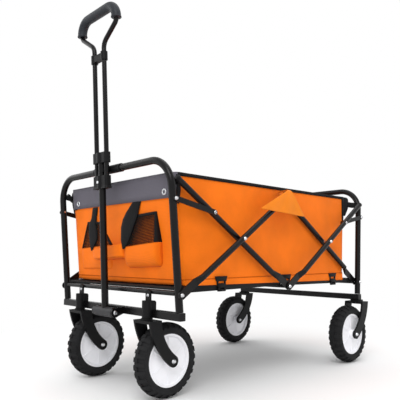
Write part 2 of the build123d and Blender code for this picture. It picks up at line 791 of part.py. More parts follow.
def handle_clip():
    """Sleeve on the frame's top tube with an open jaw that holds the handle tube upright."""
    top_y = inset(FRONT, leg_inset(FRAME_TOP))
    level = (FRAME_TOP - HANDLE_PIVOT_HEIGHT) / cos(radians(HANDLE_LEAN)) - JAW_HEIGHT / 2
    opening = HANDLE_TUBE + 0.7
    with BuildPart() as clip:
        with BuildSketch(across(top_y, FRAME_TOP, -CLIP_WIDTH / 2)):
            Circle(CLIP_SLEEVE / 2)
        extrude(amount=CLIP_WIDTH)
        with BuildSketch(HANDLE_AXIS.offset(level)):
            Circle(JAW_RADIUS)
            with Locations((0, JAW_RADIUS)):
                Rectangle(2 * JAW_RADIUS - 4, JAW_RADIUS)
            with Locations((0, -JAW_RADIUS)):
                Rectangle(opening, 2 * JAW_RADIUS, mode=Mode.SUBTRACT)
        extrude(amount=JAW_HEIGHT)
        with BuildSketch(HANDLE_AXIS.offset(level - CLIP_SLEEVE)):
            Circle(HANDLE_TUBE / 2 + SLIDE_CLEARANCE)
        extrude(amount=JAW_HEIGHT + 2 * CLIP_SLEEVE, mode=Mode.SUBTRACT)
        with BuildSketch(across(top_y, FRAME_TOP, -CLIP_WIDTH / 2)):
            Circle(LEG_TUBE / 2 + FIT_CLEARANCE)
        extrude(amount=CLIP_WIDTH, mode=Mode.SUBTRACT)
    save(clip.part, "handle_clip")


# Fabric tub: end panels on the end frames, side panels and floor parted at the middle
def tub_insets(end):
    """Inward distance of an end panel's outer face at the hem and at the rim."""
    return TUB_FRONT_INSET if end == FRONT else TUB_REAR_INSET


def upright_panel(outline, x, thickness):
    """Panel in the YZ plane from one X, as thick as given."""
    with BuildPart() as panel:
        with BuildSketch(across(0, 0, x)):
            Polygon(*outline, align=None)
        extrude(amount=thickness)
    return panel.part


def tub_panels(end):
    """End panel, both half side panels and the half floor of one end."""
    hem, rim = tub_insets(end)
    seam = TUB_CLOTH + SEAM_GAP
    middle = inset(end, FRAME_LENGTH / 2 - SEAM_GAP)
    end_outline = (
        (inset(end, hem), TUB_HEM),
        (inset(end, hem + TUB_CLOTH), TUB_HEM),
        (inset(end, rim + TUB_CLOTH), TUB_RIM),
        (inset(end, rim), TUB_RIM),
    )
    side_outline = (
        (inset(end, hem + seam), TUB_HEM),
        (middle, TUB_HEM),
        (middle, TUB_RIM),
        (inset(end, rim + seam), TUB_RIM),
    )
    word = end_name(end)
    save(upright_panel(end_outline, -TUB_HALF_WIDTH, 2 * TUB_HALF_WIDTH), f"tub_{word}_panel")
    for side in SIDES:
        panel = upright_panel(side_outline, side * TUB_HALF_WIDTH, -side * TUB_CLOTH)
        save(panel, f"tub_{side_name(side)}_{word}")
    start = inset(end, leg_inset(BASE_TUBE_HEIGHT))
    level = BASE_TUBE_HEIGHT + BASE_TUBE / 2 + 0.2
    pad_start = inset(end, hem + TUB_CLOTH + PAD_GAP)
    pad_width = 2 * (TUB_HALF_WIDTH - TUB_CLOTH - PAD_GAP)
    with BuildPart() as floor:
        with BuildSketch(Plane.XY.offset(level)):
            with Locations((0, (start + middle) / 2)):
                Rectangle(2 * TUB_HALF_WIDTH, abs(middle - start))
        extrude(amount=FLOOR_THICK)
        with BuildSketch(Plane.XY.offset(level + FLOOR_THICK)):
            with Locations((0, (pad_start + middle) / 2)):
                Rectangle(pad_width, abs(middle - pad_start))
        extrude(amount=FLOOR_PAD)
    save(floor.part, f"tub_floor_{word}")


def pouch_solid(plane, low_x, high_x, margin, height):
    """Solid of a pouch's bowed plan, drawn in by a margin and as tall as given."""
    left, right = low_x + margin, high_x - margin
    shoulder = -POCKET_DEPTH + POCKET_BOW + margin
    front = -POCKET_DEPTH + margin
    with BuildPart() as solid:
        with BuildSketch(plane):
            with BuildLine():
                Line((left, 0), (left + POCKET_BEVEL, shoulder))
                ThreePointArc(
                    (left + POCKET_BEVEL, shoulder),
                    ((left + right) / 2, front),
                    (right - POCKET_BEVEL, shoulder),
                )
                Line((right - POCKET_BEVEL, shoulder), (right, 0))
                Line((right, 0), (left, 0))
            make_face()
        extrude(amount=height)
    return solid.part


def pocket(name, low_x, high_x, low_z, high_z):
    """Pouch sewn to the front panel: a bowed front, two sides and a bottom, open at the top."""
    hem, rim = TUB_FRONT_INSET
    fall = (hem - rim) / (TUB_RIM - TUB_HEM)
    face = inset(FRONT, hem - fall * (low_z - TUB_HEM))
    plane = Plane(origin=(0, face, low_z), x_dir=(1, 0, 0), z_dir=(0, -fall, 1))
    height = high_z - low_z
    outer = pouch_solid(plane, low_x, high_x, 0, height)
    inner = pouch_solid(plane.offset(POCKET_WALL), low_x, high_x, POCKET_WALL, height)
    with BuildPart() as pouch:
        add(outer)
        add(inner, mode=Mode.SUBTRACT)
    save(pouch.part, name)


for wagon_end in (FRONT, REAR):
    end_frame(wagon_end)
    crossbar(wagon_end)
    base_tube(wagon_end)
    link_pair(wagon_end)
    stays(wagon_end)
    link_bolts(wagon_end)
    tub_panels(wagon_end)
for wagon_side in SIDES:
    caster_housing(wagon_side)
centre_tube()
running_gear()
handle_bracket()
handle_lower()
handle_loop()
rod_fittings()
lock_button()
handle_clip()
pocket("pocket_left", -200, -34, 285, 437)
pocket("pocket_right", 34, 180, 305, 445)
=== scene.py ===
"""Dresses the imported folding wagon: cloth tub, pouches, straps, trims and finishes."""
import json
import logging
import math
from dataclasses import dataclass
from enum import Enum
from functools import partial
from typing import Any, Callable, Optional, Sequence

import bmesh
import bpy
from mathutils import Matrix, Vector


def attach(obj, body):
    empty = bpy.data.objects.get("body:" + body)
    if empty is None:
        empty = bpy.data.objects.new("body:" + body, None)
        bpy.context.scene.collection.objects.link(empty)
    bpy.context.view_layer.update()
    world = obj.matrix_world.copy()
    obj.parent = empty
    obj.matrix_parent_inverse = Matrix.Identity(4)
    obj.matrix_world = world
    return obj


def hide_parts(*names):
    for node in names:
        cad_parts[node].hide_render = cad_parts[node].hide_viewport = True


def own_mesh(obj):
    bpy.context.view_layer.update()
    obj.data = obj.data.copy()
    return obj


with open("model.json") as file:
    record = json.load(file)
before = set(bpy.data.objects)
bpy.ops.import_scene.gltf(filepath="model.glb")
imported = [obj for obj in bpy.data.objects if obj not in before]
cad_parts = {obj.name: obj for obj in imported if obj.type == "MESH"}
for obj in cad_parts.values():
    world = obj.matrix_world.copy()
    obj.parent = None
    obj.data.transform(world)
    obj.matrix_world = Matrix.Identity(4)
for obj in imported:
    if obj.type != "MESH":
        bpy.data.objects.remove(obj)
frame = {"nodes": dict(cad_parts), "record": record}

LOG = logging.getLogger("wagon")
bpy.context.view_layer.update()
MM = 0.001
# Pieces are drawn in millimetres with Y counted from the front crossbar, then moved to the row frame
FRONT_BAR_Y = -369.51
TO_ROW = Matrix.Scale(MM, 4) @ Matrix.Translation((0.0, FRONT_BAR_Y, 0.0))
# Past every piece, for a cut that is open on one side
FAR = 1000.0

Colour = tuple[float, float, float, float]
Pair = tuple[float, float]
Place = tuple[float, float, float]
Shape = Callable[[float, float], Place]
Link = tuple[bpy.types.Node, Any]


class Side(Enum):
    """The wagon's two sides, by the sign of X."""

    LEFT = -1
    RIGHT = 1

    @property
    def word(self) -> str:
        """Name used in piece names."""
        return self.name.lower()


class End(Enum):
    """The wagon's two ends, by their word in piece names."""

    FRONT = "front"
    REAR = "rear"


class Axis(Enum):
    """Row axes, by index."""

    X = 0
    Y = 1
    Z = 2


class Grow(Enum):
    """Which way a sheet's thickness grows from its drawn surface."""

    INWARDS = -1.0
    BOTH = 0.0
    OUTWARDS = 1.0


def mix(start: float, end: float, share: float) -> float:
    """Value at a share of the way from one to another."""
    return start + (end - start) * share


def linear(code: str) -> Colour:
    """Turns an sRGB hex colour into linear RGBA.

    Args:
        code: six hex digits after a hash sign.

    Returns:
        Linear red, green, blue and an alpha of 1.
    """
    parts = [int(code[i : i + 2], 16) / 255 for i in (1, 3, 5)]
    red, green, blue = [p / 12.92 if p <= 0.04045 else ((p + 0.055) / 1.055) ** 2.4 for p in parts]
    return (red, green, blue, 1.0)


def shade(code: str, share: float) -> Colour:
    """A hex colour made darker or lighter by a share of its linear value."""
    red, green, blue, alpha = linear(code)
    return (min(red * share, 1.0), min(green * share, 1.0), min(blue * share, 1.0), alpha)


def wave_scale(period_mm: float) -> float:
    """Scale of a band wave of a real period, which is 2 pi over 20 times the scale."""
    return math.tau / (20 * period_mm * MM)


def add_node(
    tree: bpy.types.NodeTree,
    kind: str,
    inputs: Optional[dict[Any, Any]] = None,
    stops: Sequence[tuple[float, Colour]] = (),
    **settings: Any,
) -> bpy.types.Node:
    """Adds one node with its settings, values and links.

    Args:
        tree: node tree that gets the node.
        kind: node type without its ShaderNode prefix.
        inputs: socket name or index to a value, or to a (node, output) pair to link.
        stops: place and colour of both ends of a colour ramp.
        settings: attributes of the node.

    Returns:
        The new node.
    """
    made = tree.nodes.new("ShaderNode" + kind)
    for name, value in settings.items():
        setattr(made, name, value)
    for number, (place, colour) in enumerate(stops):
        made.color_ramp.elements[number].position = place
        made.color_ramp.elements[number].color = colour
    for key, value in (inputs or {}).items():
        if isinstance(value, tuple) and len(value) == 2 and isinstance(value[0], bpy.types.Node):
            tree.links.new(value[0].outputs[value[1]], made.inputs[key])
        else:
            made.inputs[key].default_value = value
    return made


@dataclass(frozen=True)
class Finish:
    """A surface finish whose colour varies in soft patches; its material is made once and shared."""

    name: str
    colour: str
    roughness: float
    specular: float
    # Size and fineness of the patches
    patch_mm: float = 30.0
    detail: float = 3.0
    # Darkest and lightest share of the colour, and where the pattern turns from one to the other
    shares: Pair = (0.9, 1.1)
    span: Pair = (0.3, 0.7)
    # Change of roughness in the darkest and lightest patches
    gloss: Optional[Pair] = None
    relief_mm: float = 0.05
    relief_strength: float = 0.6

    @property
    def stops(self) -> list[tuple[float, Colour]]:
        """Both ends of the colour's range, for a colour ramp."""
        return [(at, shade(self.colour, share)) for at, share in zip(self.span, self.shares)]

    def pattern(self, tree: bpy.types.NodeTree, place: Link) -> dict[str, Any]:
        """Adds the nodes of the soft patches; each kind of finish adds its own to them.

        Args:
            tree: the material's nodes.
            place: the piece's own coordinates, in metres.

        Returns:
            The shader's inputs, and under Height what raises the surface.
        """
        scale = 1 / (self.patch_mm * MM)
        patches = add_node(tree, "TexNoise", {"Vector": place, "Scale": scale, "Detail": self.detail})
        tone = add_node(tree, "ValToRGB", {"Fac": (patches, "Fac")}, self.stops)
        inputs: dict[str, Any] = {"Base Color": (tone, "Color")}
        if self.gloss:
            low, high = [self.roughness + change for change in self.gloss]
            sheen = add_node(tree, "MapRange", {"Value": (patches, "Fac"), "To Min": low, "To Max": high})
            inputs["Roughness"] = (sheen, "Result")
        return inputs

    def material(self) -> bpy.types.Material:
        """Makes the material on first use.

        Returns:
            The finish's material.
        """
        found = bpy.data.materials.get(self.name)
        if found is not None:
            return found
        made = bpy.data.materials.new(self.name)
        made.use_nodes = True
        made.diffuse_color = linear(self.colour)
        tree = made.node_tree
        tree.nodes.clear()
        inputs = {"Specular IOR Level": self.specular, "Roughness": self.roughness}
        inputs |= self.pattern(tree, (add_node(tree, "TexCoord"), "Object"))
        if "Height" in inputs:
            relief = {"Height": inputs.pop("Height"), "Distance": self.relief_mm * MM}
            raised = add_node(tree, "Bump", relief | {"Strength": self.relief_strength})
            inputs["Normal"] = (raised, "Normal")
        shader = add_node(tree, "BsdfPrincipled", inputs)
        # The mean value stays below a varied one, for a reader that takes no patterns
        shader.inputs["Roughness"].default_value = self.roughness
        add_node(tree, "OutputMaterial", {"Surface": (shader, "BSDF")})
        return made


@dataclass(frozen=True)
class PowderCoat(Finish):
    """Steel with a baked powder coat: slight orange peel, a little greyer in patches."""

    patch_mm: float = 45.0
    detail: float = 4.0
    shares: Pair = (0.8, 1.35)
    gloss: Optional[Pair] = (-0.07, 0.08)
    peel_mm: float = 1.6

    def pattern(self, tree: bpy.types.NodeTree, place: Link) -> dict[str, Any]:
        """Adds the orange peel."""
        peel = add_node(tree, "TexNoise", {"Vector": place, "Scale": 1 / (self.peel_mm * MM),
                                           "Detail": 1.0})
        return super().pattern(tree, place) | {"Height": (peel, "Fac")}


@dataclass(frozen=True)
class ZincPlate(Finish):
    """Bright zinc-plated steel: clear metal with a faint haze."""

    patch_mm: float = 2.5
    shares: Pair = (0.85, 1.0)
    gloss: Optional[Pair] = (-0.06, 0.1)

    def pattern(self, tree: bpy.types.NodeTree, place: Link) -> dict[str, Any]:
        """Makes the patches metal."""
        return super().pattern(tree, place) | {"Metallic": 1.0}


@dataclass(frozen=True)
class Moulded(Finish):
    """Injection-moulded plastic with a spark-eroded grain and a faint flow mottling.

    The real grain is about 0.2 mm, too fine to show, so it is drawn coarser.
    """

    shares: Pair = (0.86, 1.12)
    gloss: Optional[Pair] = (-0.06, 0.06)
    relief_mm: float = 0.06
    grain_mm: float = 0.9

    def pattern(self, tree: bpy.types.NodeTree, place: Link) -> dict[str, Any]:
        """Adds the grain."""
        grain = add_node(tree, "TexVoronoi", {"Vector": place, "Scale": 1 / (self.grain_mm * MM)})
        return super().pattern(tree, place) | {"Height": (grain, "Distance")}


@dataclass(frozen=True)
class Rubber(Moulded):
    """Moulded rubber or foam: matt, with fine cells, drawn coarser than they are, and some dust."""

    patch_mm: float = 18.0
    detail: float = 5.0
    shares: Pair = (1.0, 1.3)
    gloss: Optional[Pair] = None
    relief_mm: float = 0.04
    grain_mm: float = 1.2


@dataclass(frozen=True)
class Cloth(Finish):
    """Coated polyester oxford: plain basket weave with a low sheen and a slightly uneven dye.

    The real threads lie about 0.6 mm apart, too fine to show, so they are drawn coarser.
    """

    patch_mm: float = 70.0
    shares: Pair = (0.92, 1.08)
    relief_mm: float = 0.35
    thread_mm: float = 3.0
    thread_shares: Pair = (0.9, 1.05)
    sheen: float = 0.04
    sheen_roughness: float = 0.5

    def pattern(self, tree: bpy.types.NodeTree, place: Link) -> dict[str, Any]:
        """Adds the weave as two crossed waves, on whichever way the cloth faces.

        Args:
            tree: the material's nodes.
            place: the piece's own coordinates, in metres.

        Returns:
            The shader's inputs, and under Height the weave.
        """
        inputs = super().pattern(tree, place)
        apart = add_node(tree, "SeparateXYZ", {"Vector": place})
        along = add_node(tree, "Math", {0: (apart, "X"), 1: (apart, "Y")}, operation="ADD")
        up = add_node(tree, "Math", {0: (apart, "Z"), 1: (apart, "Y")}, operation="ADD")
        flat = add_node(tree, "CombineXYZ", {"X": (along, 0), "Y": (up, 0)})
        threads = {"Vector": (flat, 0), "Scale": wave_scale(self.thread_mm)}
        warp = add_node(tree, "TexWave", threads, bands_direction="X")
        weft = add_node(tree, "TexWave", threads, bands_direction="Y")
        weave = add_node(tree, "Math", {0: (warp, "Fac"), 1: (weft, "Fac")}, operation="MULTIPLY")
        low, high = self.thread_shares
        depth = add_node(tree, "MapRange", {"Value": (weave, 0), "To Min": low, "To Max": high})
        # Inputs 6 and 7 and output 2 are the Mix node's two colours and their result
        dyed = add_node(tree, "Mix", {"Factor": 1.0, 6: inputs["Base Color"], 7: (depth, "Result")},
                        data_type="RGBA", blend_type="MULTIPLY")
        sheen = {"Sheen Weight": self.sheen, "Sheen Roughness": self.sheen_roughness}
        return inputs | sheen | {"Base Color": (dyed, 2), "Height": (weave, 0)}


@dataclass(frozen=True)
class Webbing(Finish):
    """Woven tape, thread or net with ribs, slanted so that they show whichever way the piece runs.

    A tape's real ribs lie about 1.5 mm apart, too fine to show, so they are drawn coarser.
    """

    shares: Pair = (0.75, 1.25)
    span: Pair = (0.1, 0.9)
    relief_mm: float = 0.3
    rib_mm: float = 3.5

    def pattern(self, tree: bpy.types.NodeTree, place: Link) -> dict[str, Any]:
        """Adds the ribs.

        Args:
            tree: the material's nodes.
            place: the piece's own coordinates, in metres.

        Returns:
            The shader's colour, and under Height the ribs.
        """
        ribs = add_node(tree, "TexWave", {"Vector": place, "Scale": wave_scale(self.rib_mm)},
                        bands_direction="DIAGONAL")
        tone = add_node(tree, "ValToRGB", {"Fac": (ribs, "Fac")}, self.stops)
        return {"Base Color": (tone, "Color"), "Height": (ribs, "Fac")}


# Baked powder coat on steel tube: near black, with a thin soft streak of light along each tube
BLACK_STEEL = PowderCoat("powder_coated_steel", "#0C0B0C", 0.26, 0.2)
# Zinc plate on bolts, rivets and eyelets: small bright points on the black frame
BRIGHT_STEEL = ZincPlate("zinc_plated_steel", "#D6D7DA", 0.28, 0.5)
# Moulded nylon of forks, housings and clips: black with a broad dull shine that shows its edges
BLACK_PLASTIC = Moulded("black_nylon", "#141415", 0.46, 0.12)
# The same nylon in dark grey, on the handle's barrel: a shade lighter than the tube in it
GREY_PLASTIC = Moulded("grey_nylon", "#38383A", 0.45, 0.12)
# Moulded polypropylene of the hubs: clean cool white with a soft gloss and almost no grain
WHITE_PLASTIC = Moulded("white_polypropylene", "#F5F5F9", 0.38, 0.4, shares=(0.94, 1.0), relief_mm=0.03)
# Moulded tyre rubber: matt dark grey with a trace of dust, so the tread's blocks show
TYRE_RUBBER = Rubber("moulded_tyre_rubber", "#202021", 0.7, 0.1)
# Closed-cell foam of the grip: bluish black, with cells that break up the shine
GRIP_FOAM = Rubber("closed_cell_nbr_foam", "#23262B", 0.5, 0.22, shares=(1.0, 1.2), relief_mm=0.06,
                   grain_mm=1.8)
# Oxford cloth dyed orange: a full, even colour that turns soft at a grazing angle
ORANGE_CLOTH = Cloth("orange_oxford_cloth", "#F6760A", 0.62, 0.12)
# The same orange cloth painted paler on the flaps, a painted highlight for the light they catch, so they
# stand out a little from the walls
FLAP_CLOTH_PAINTED_LIT = Cloth("pale_orange_oxford_cloth", "#F08416", 0.62, 0.12)
# Oxford cloth in grey: the band along the front rim, cooler and duller than the orange
GREY_CLOTH = Cloth("grey_oxford_cloth", "#64616A", 0.66, 0.12, shares=(0.95, 1.05))
# Oxford cloth in black: the floor mat, matt and unevenly dark
BLACK_CLOTH = Cloth("black_oxford_cloth", "#161616", 0.72, 0.15, shares=(0.88, 1.12), sheen=0.02)
# Woven nylon tape: a matt black edge with fine ribs round the tub and its pouches
BINDING = Webbing("black_binding_tape", "#121213", 0.7, 0.15)
# Sewing thread a shade darker than the cloth: a rust line along the hem
SEAM_THREAD = Webbing("rust_thread", "#BC5606", 0.7, 0.1, rib_mm=2.5)
# Knitted polyester net: dark strands through which the orange shows
NET = Webbing("black_polyester_net", "#191512", 0.75, 0.1, rib_mm=1.2)


class Bench:
    """Turns drawn meshes into finished pieces of the wagon."""

    # Shorter edges belong to rounded corners, which keep their few cuts
    long_edge = 40.0

    @staticmethod
    def piece(
        name: str,
        mesh: bmesh.types.BMesh,
        finish: Finish,
        body: str,
        slot: Optional[str] = None,
        wall: float = 0.0,
        grow: Grow = Grow.INWARDS,
        smooth: int = 0,
        strand: float = 0.0,
    ) -> bpy.types.Object:
        """Makes a piece from a mesh drawn in millimetres.

        Args:
            name: piece name.
            mesh: the drawn mesh, which is freed.
            finish: its finish.
            body: CAD body that it rides on.
            slot: record slot of the piece; not used.
            wall: thickness of a sheet; 0 leaves the mesh as it is.
            grow: which way that thickness grows.
            smooth: subdivision levels.
            strand: thickness of a net's strands; 0 for a sheet without holes.

        Returns:
            The finished object.
        """
        bmesh.ops.transform(mesh, matrix=TO_ROW, verts=mesh.verts)
        data = bpy.data.meshes.new(name)
        mesh.to_mesh(data)
        mesh.free()
        for face in data.polygons:
            face.use_smooth = True
        data.materials.append(finish.material())
        made = bpy.data.objects.new(name, data)
        bpy.context.scene.collection.objects.link(made)
        if smooth:
            divide = made.modifiers.new("smooth", "SUBSURF")
            divide.levels = smooth
            divide.render_levels = smooth
        if wall:
            thicken = made.modifiers.new("wall", "SOLIDIFY")
            thicken.thickness = wall * MM
            thicken.offset = grow.value
        if strand:
            knit = made.modifiers.new("strands", "WIREFRAME")
            knit.thickness = strand * MM
        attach(made, body)
        LOG.info("piece %s on %s", name, body)
        return made

    @staticmethod
    def sheet(
        shape: Shape,
        columns: int,
        rows: int,
        keep: Optional[Callable[[float, float], bool]] = None,
    ) -> bmesh.types.BMesh:
        """Draws a sheet by placing a grid.

        Args:
            shape: gives the place of a point from its share across, -1 to 1, and up, 0 to 1.
            columns: faces across.
            rows: faces up.
            keep: tells from the same shares which faces stay; all of them if left out.

        Returns:
            The placed grid.
        """
        mesh = bmesh.new()
        bmesh.ops.create_grid(mesh, x_segments=columns, y_segments=rows, size=1.0)
        if keep:
            middles = [(face, face.calc_center_median()) for face in mesh.faces]
            gone = [face for face, at in middles if not keep(at.x, (at.y + 1) / 2)]
            bmesh.ops.delete(mesh, geom=gone, context="FACES")
        for vert in mesh.verts:
            vert.co = Vector(shape(vert.co.x, (vert.co.y + 1) / 2))
        return mesh

    @staticmethod
    def block(size: Place, centre: Place, edge: float) -> bmesh.types.BMesh:
        """Draws a block with rounded edges.

        Args:
            size: its extents.
            centre: its middle.
            edge: radius of its edges.

        Returns:
            The block's mesh.
        """
        mesh = bmesh.new()
        bmesh.ops.create_cube(mesh, size=1.0)
        bmesh.ops.scale(mesh, vec=size, verts=mesh.verts)
        bmesh.ops.bevel(mesh, geom=mesh.edges[:], offset=edge, segments=2, profile=0.5,
                        affect="EDGES", material=-1)
        bmesh.ops.translate(mesh, vec=centre, verts=mesh.verts)
        return mesh

    @staticmethod
    def join(target: bmesh.types.BMesh, other: bmesh.types.BMesh) -> None:
        """Adds one drawn mesh to another.

        Args:
            target: mesh that grows.
            other: mesh that is added, and freed.
        """
        data = bpy.data.meshes.new("joined")
        other.to_mesh(data)
        other.free()
        target.from_mesh(data)
        bpy.data.meshes.remove(data)

    @staticmethod
    def cut_off(mesh: bmesh.types.BMesh, place: Sequence[float], facing: Sequence[float]) -> None:
        """Cuts away what lies past a plane.

        Args:
            mesh: mesh to cut.
            place: point of the plane.
            facing: its normal, towards what goes.
        """
        bmesh.ops.bisect_plane(mesh, geom=mesh.verts[:] + mesh.edges[:] + mesh.faces[:], dist=1e-5,
                               plane_co=place, plane_no=facing, clear_outer=True)

    @classmethod
    def keep_slab(cls, mesh: bmesh.types.BMesh, axis: Axis, low: float, high: float) -> None:
        """Cuts a mesh to the slab between two places along an axis.

        Args:
            mesh: mesh to cut.
            axis: axis across the slab.
            low: where the slab starts.
            high: where it ends.
        """
        along = Matrix.Identity(3)[axis.value]
        cls.cut_off(mesh, along * low, -along)
        cls.cut_off(mesh, along * high, along)

    @classmethod
    def divide(cls, mesh: bmesh.types.BMesh, axis: Axis, cuts: int) -> None:
        """Divides the long edges that run along an axis, and the faces between them.

        Args:
            mesh: mesh to divide.
            axis: axis of the edges.
            cuts: cuts in each edge.
        """
        long = []
        for edge in mesh.edges:
            span = edge.verts[1].co - edge.verts[0].co
            if span.length > cls.long_edge and abs(span[axis.value]) > 0.99 * span.length:
                long.append(edge)
        bmesh.ops.subdivide_edges(mesh, edges=long, cuts=cuts, use_grid_fill=True)


@dataclass
class Tub:
    """The cloth tub: one shell with its binding, seam, corner tapes, hem facings and front band."""

    half_width: float = 234.0
    hem: float = 266.0
    rim: float = 531.0
    front_hem: float = 20.0
    front_rim: float = -5.4
    rear_hem: float = 729.0
    rear_rim: float = 750.3
    corner: float = 13.0
    foot_corner: float = 7.0
    cloth: float = 1.6
    cuts: tuple[int, int, int] = (24, 40, 16)
    # How the hung cloth leaves the plain box: walls that fill out, creases from the upper corners
    # as waves along and down a wall that die out over a share of both, and a floor that isn't flat
    side_fill: float = 2.6
    end_fill: float = 1.8
    crease: float = 1.6
    crease_waves: Pair = (26.0, 9.0)
    crease_reach: Pair = (0.28, 0.45)
    floor_rise: float = 1.5
    floor_lip: float = 2.0
    # Shares of the half width, half length and height that tell side walls, end walls and floor apart
    side_from: float = 0.9
    end_from: float = 0.95
    floor_to: float = 0.02
    # The side hems' distance below the floor cloth at the front bar, and its growth per millimetre
    hem_droop: float = -1.0
    droop_slope: float = 0.0137
    binding_depth: float = 8.5
    binding_start: float = 14.0
    binding_wall: float = 4.5
    seam: Pair = (279.5, 281.3)
    band_foot: float = 472.0
    band_lap: float = 9.0
    band_flat: Pair = (0.51, 0.058)
    # Corner tapes: start and end behind the front rim, start before the rear rim, inner edge, feet
    front_tape: Pair = (5.0, 16.0)
    rear_tape: float = 22.0
    tape_inner: float = 210.0
    front_tape_foot: float = 470.0
    rear_tape_foot: float = 452.0
    # Hem facings: top edge, distance off the wall, distance from both ends, lift round the corners
    facing_top: float = 279.4
    facing_gap: float = 1.1
    facing_ends: Pair = (4.0, 3.0)
    facing_lift: float = 4.0
    # Eyelets: place on the band, distance off the wall, radius of the ring and of its bead
    eyelet_place: Pair = (197.0, 487.0)
    eyelet_off: float = 3.4
    eyelet_ring: float = 6.2
    eyelet_bead: float = 1.9
    fold_joint: str = "frame_fold"
    folded_share: float = 0.145
    folded_rise: float = 0.037

    @property
    def middle(self) -> float:
        """Y halfway along the hem."""
        return (self.front_hem + self.rear_hem) / 2

    def share_up(self, height: float) -> float:
        """Share of the way from hem to rim at a height."""
        return (height - self.hem) / (self.rim - self.hem)

    def front_face(self, height: float) -> float:
        """Y of the front wall's outside at a height."""
        return mix(self.front_hem, self.front_rim, self.share_up(height))

    def rear_face(self, height: float) -> float:
        """Y of the rear wall's outside at a height."""
        return mix(self.rear_hem, self.rear_rim, self.share_up(height))

    def droop(self, y: float) -> float:
        """How far a side hem hangs below the floor cloth, more towards the rear."""
        return self.hem_droop + self.droop_slope * y

    def sewn(self, name: str, mesh: bmesh.types.BMesh, finish: Finish, slot: Optional[str] = None,
             **wall: Any) -> bpy.types.Object:
        """Makes a piece that rides on the front frame, with a mesh of its own.

        Args:
            name: piece name.
            mesh: the drawn mesh.
            finish: its finish.
            slot: record slot.
            wall: thickness and smoothing, as Bench.piece takes them.

        Returns:
            The finished piece.
        """
        piece = Bench.piece(name, mesh, finish, "front_frame", slot, **wall)
        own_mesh(piece)
        return piece

    def hang(self, place: Vector) -> Vector:
        """Moves a point of the plain box to where the hung cloth has it.

        Args:
            place: point of the plain box.

        Returns:
            The point on the leaning, slightly slack cloth.
        """
        share = self.share_up(place.z)
        run = 2 * (place.y - self.middle) / (self.rear_hem - self.front_hem)
        lean = (self.front_rim - self.front_hem) if run < 0 else (self.rear_rim - self.rear_hem)
        width = place.x / self.half_width
        slack = math.sin(math.pi * min(max(share, 0.0), 1.0))
        x, y, z = place.x, place.y + lean * share * abs(run), place.z
        if abs(width) > self.side_from:
            # A side wall is held at both ends and at its middle, so each half fills out a little
            fill = math.sin(math.pi * min(abs(run), 1.0)) * slack
            along, down = 1 - abs(run), 1 - share
            pull = math.exp(-((along / self.crease_reach[0]) ** 2) - (down / self.crease_reach[1]) ** 2)
            wave = math.sin(self.crease_waves[0] * along + self.crease_waves[1] * down)
            x += math.copysign(self.side_fill * fill + self.crease * wave * pull, width)
        if abs(run) > self.end_from:
            y += math.copysign(self.end_fill * slack * math.cos(math.pi * width / 2), run)
        if share < self.floor_to:
            z += self.floor_rise * math.sin(math.pi * abs(run)) + self.floor_lip * abs(width) ** 6
        return Vector((x, y, z))

    def plain_shell(self) -> bmesh.types.BMesh:
        """Draws the open tub with rounded corners, cut fine enough to hang.

        Returns:
            The hung shell, without thickness.
        """
        mesh = bmesh.new()
        bmesh.ops.create_cube(mesh, size=1.0)
        size = (2 * self.half_width, self.rear_hem - self.front_hem, self.rim - self.hem)
        half_up = (self.hem + self.rim) / 2
        bmesh.ops.scale(mesh, vec=size, verts=mesh.verts)
        bmesh.ops.translate(mesh, vec=(0, self.middle, half_up), verts=mesh.verts)
        top = [face for face in mesh.faces if face.normal.z > 0.5]
        bmesh.ops.delete(mesh, geom=top, context="FACES_ONLY")
        for level, radius in ((False, self.corner), (True, self.foot_corner)):
            edges = [e for e in mesh.edges if (max(v.co.z for v in e.verts) < half_up) is level
                     and min(v.co.z for v in e.verts) < half_up]
            bmesh.ops.bevel(mesh, geom=edges, offset=radius, segments=3, profile=0.5,
                            affect="EDGES", material=-1)
        for axis, cuts in zip(Axis, self.cuts):
            Bench.divide(mesh, axis, cuts)
        for vert in mesh.verts:
            vert.co = self.hang(vert.co)
        return mesh

    def strip(
        self,
        name: str,
        slabs: Sequence[tuple[Axis, float, float]],
        finish: Finish,
        slot: Optional[str],
        proud: float,
        wall: float,
        grow: Grow = Grow.OUTWARDS,
    ) -> bpy.types.Object:
        """Makes a trim that lies on the shell, cut from the shell's own surface.

        Args:
            name: piece name.
            slabs: axis and range of each cut.
            finish: its finish.
            slot: record slot.
            proud: distance off the cloth.
            wall: its thickness.
            grow: which way the thickness grows.

        Returns:
            The trim.
        """
        mesh = self.plain_shell()
        for axis, low, high in slabs:
            Bench.keep_slab(mesh, axis, low, high)
        mesh.normal_update()
        for vert in mesh.verts:
            vert.co += vert.normal * proud
        return self.sewn(name, mesh, finish, slot, wall=wall, grow=grow)

    def corner_tape(self, end: End, side: Side) -> bpy.types.Object:
        """Makes the tape down one upper corner.

        Args:
            end: end of the wagon.
            side: side of the wagon.

        Returns:
            The tape.
        """
        if end is End.FRONT:
            start, stop = [self.front_rim + back for back in self.front_tape]
            foot = self.front_tape_foot
        else:
            start, stop, foot = self.rear_rim - self.rear_tape, FAR, self.rear_tape_foot
        reach = sorted((side.value * self.tape_inner, side.value * FAR))
        cuts = [(Axis.X, *reach), (Axis.Y, start, stop), (Axis.Z, foot, FAR)]
        name = f"tub_corner_tape_{end.value}_{side.word}"
        return self.strip(name, cuts, BINDING, "black_cloth", proud=0.6, wall=1.8)

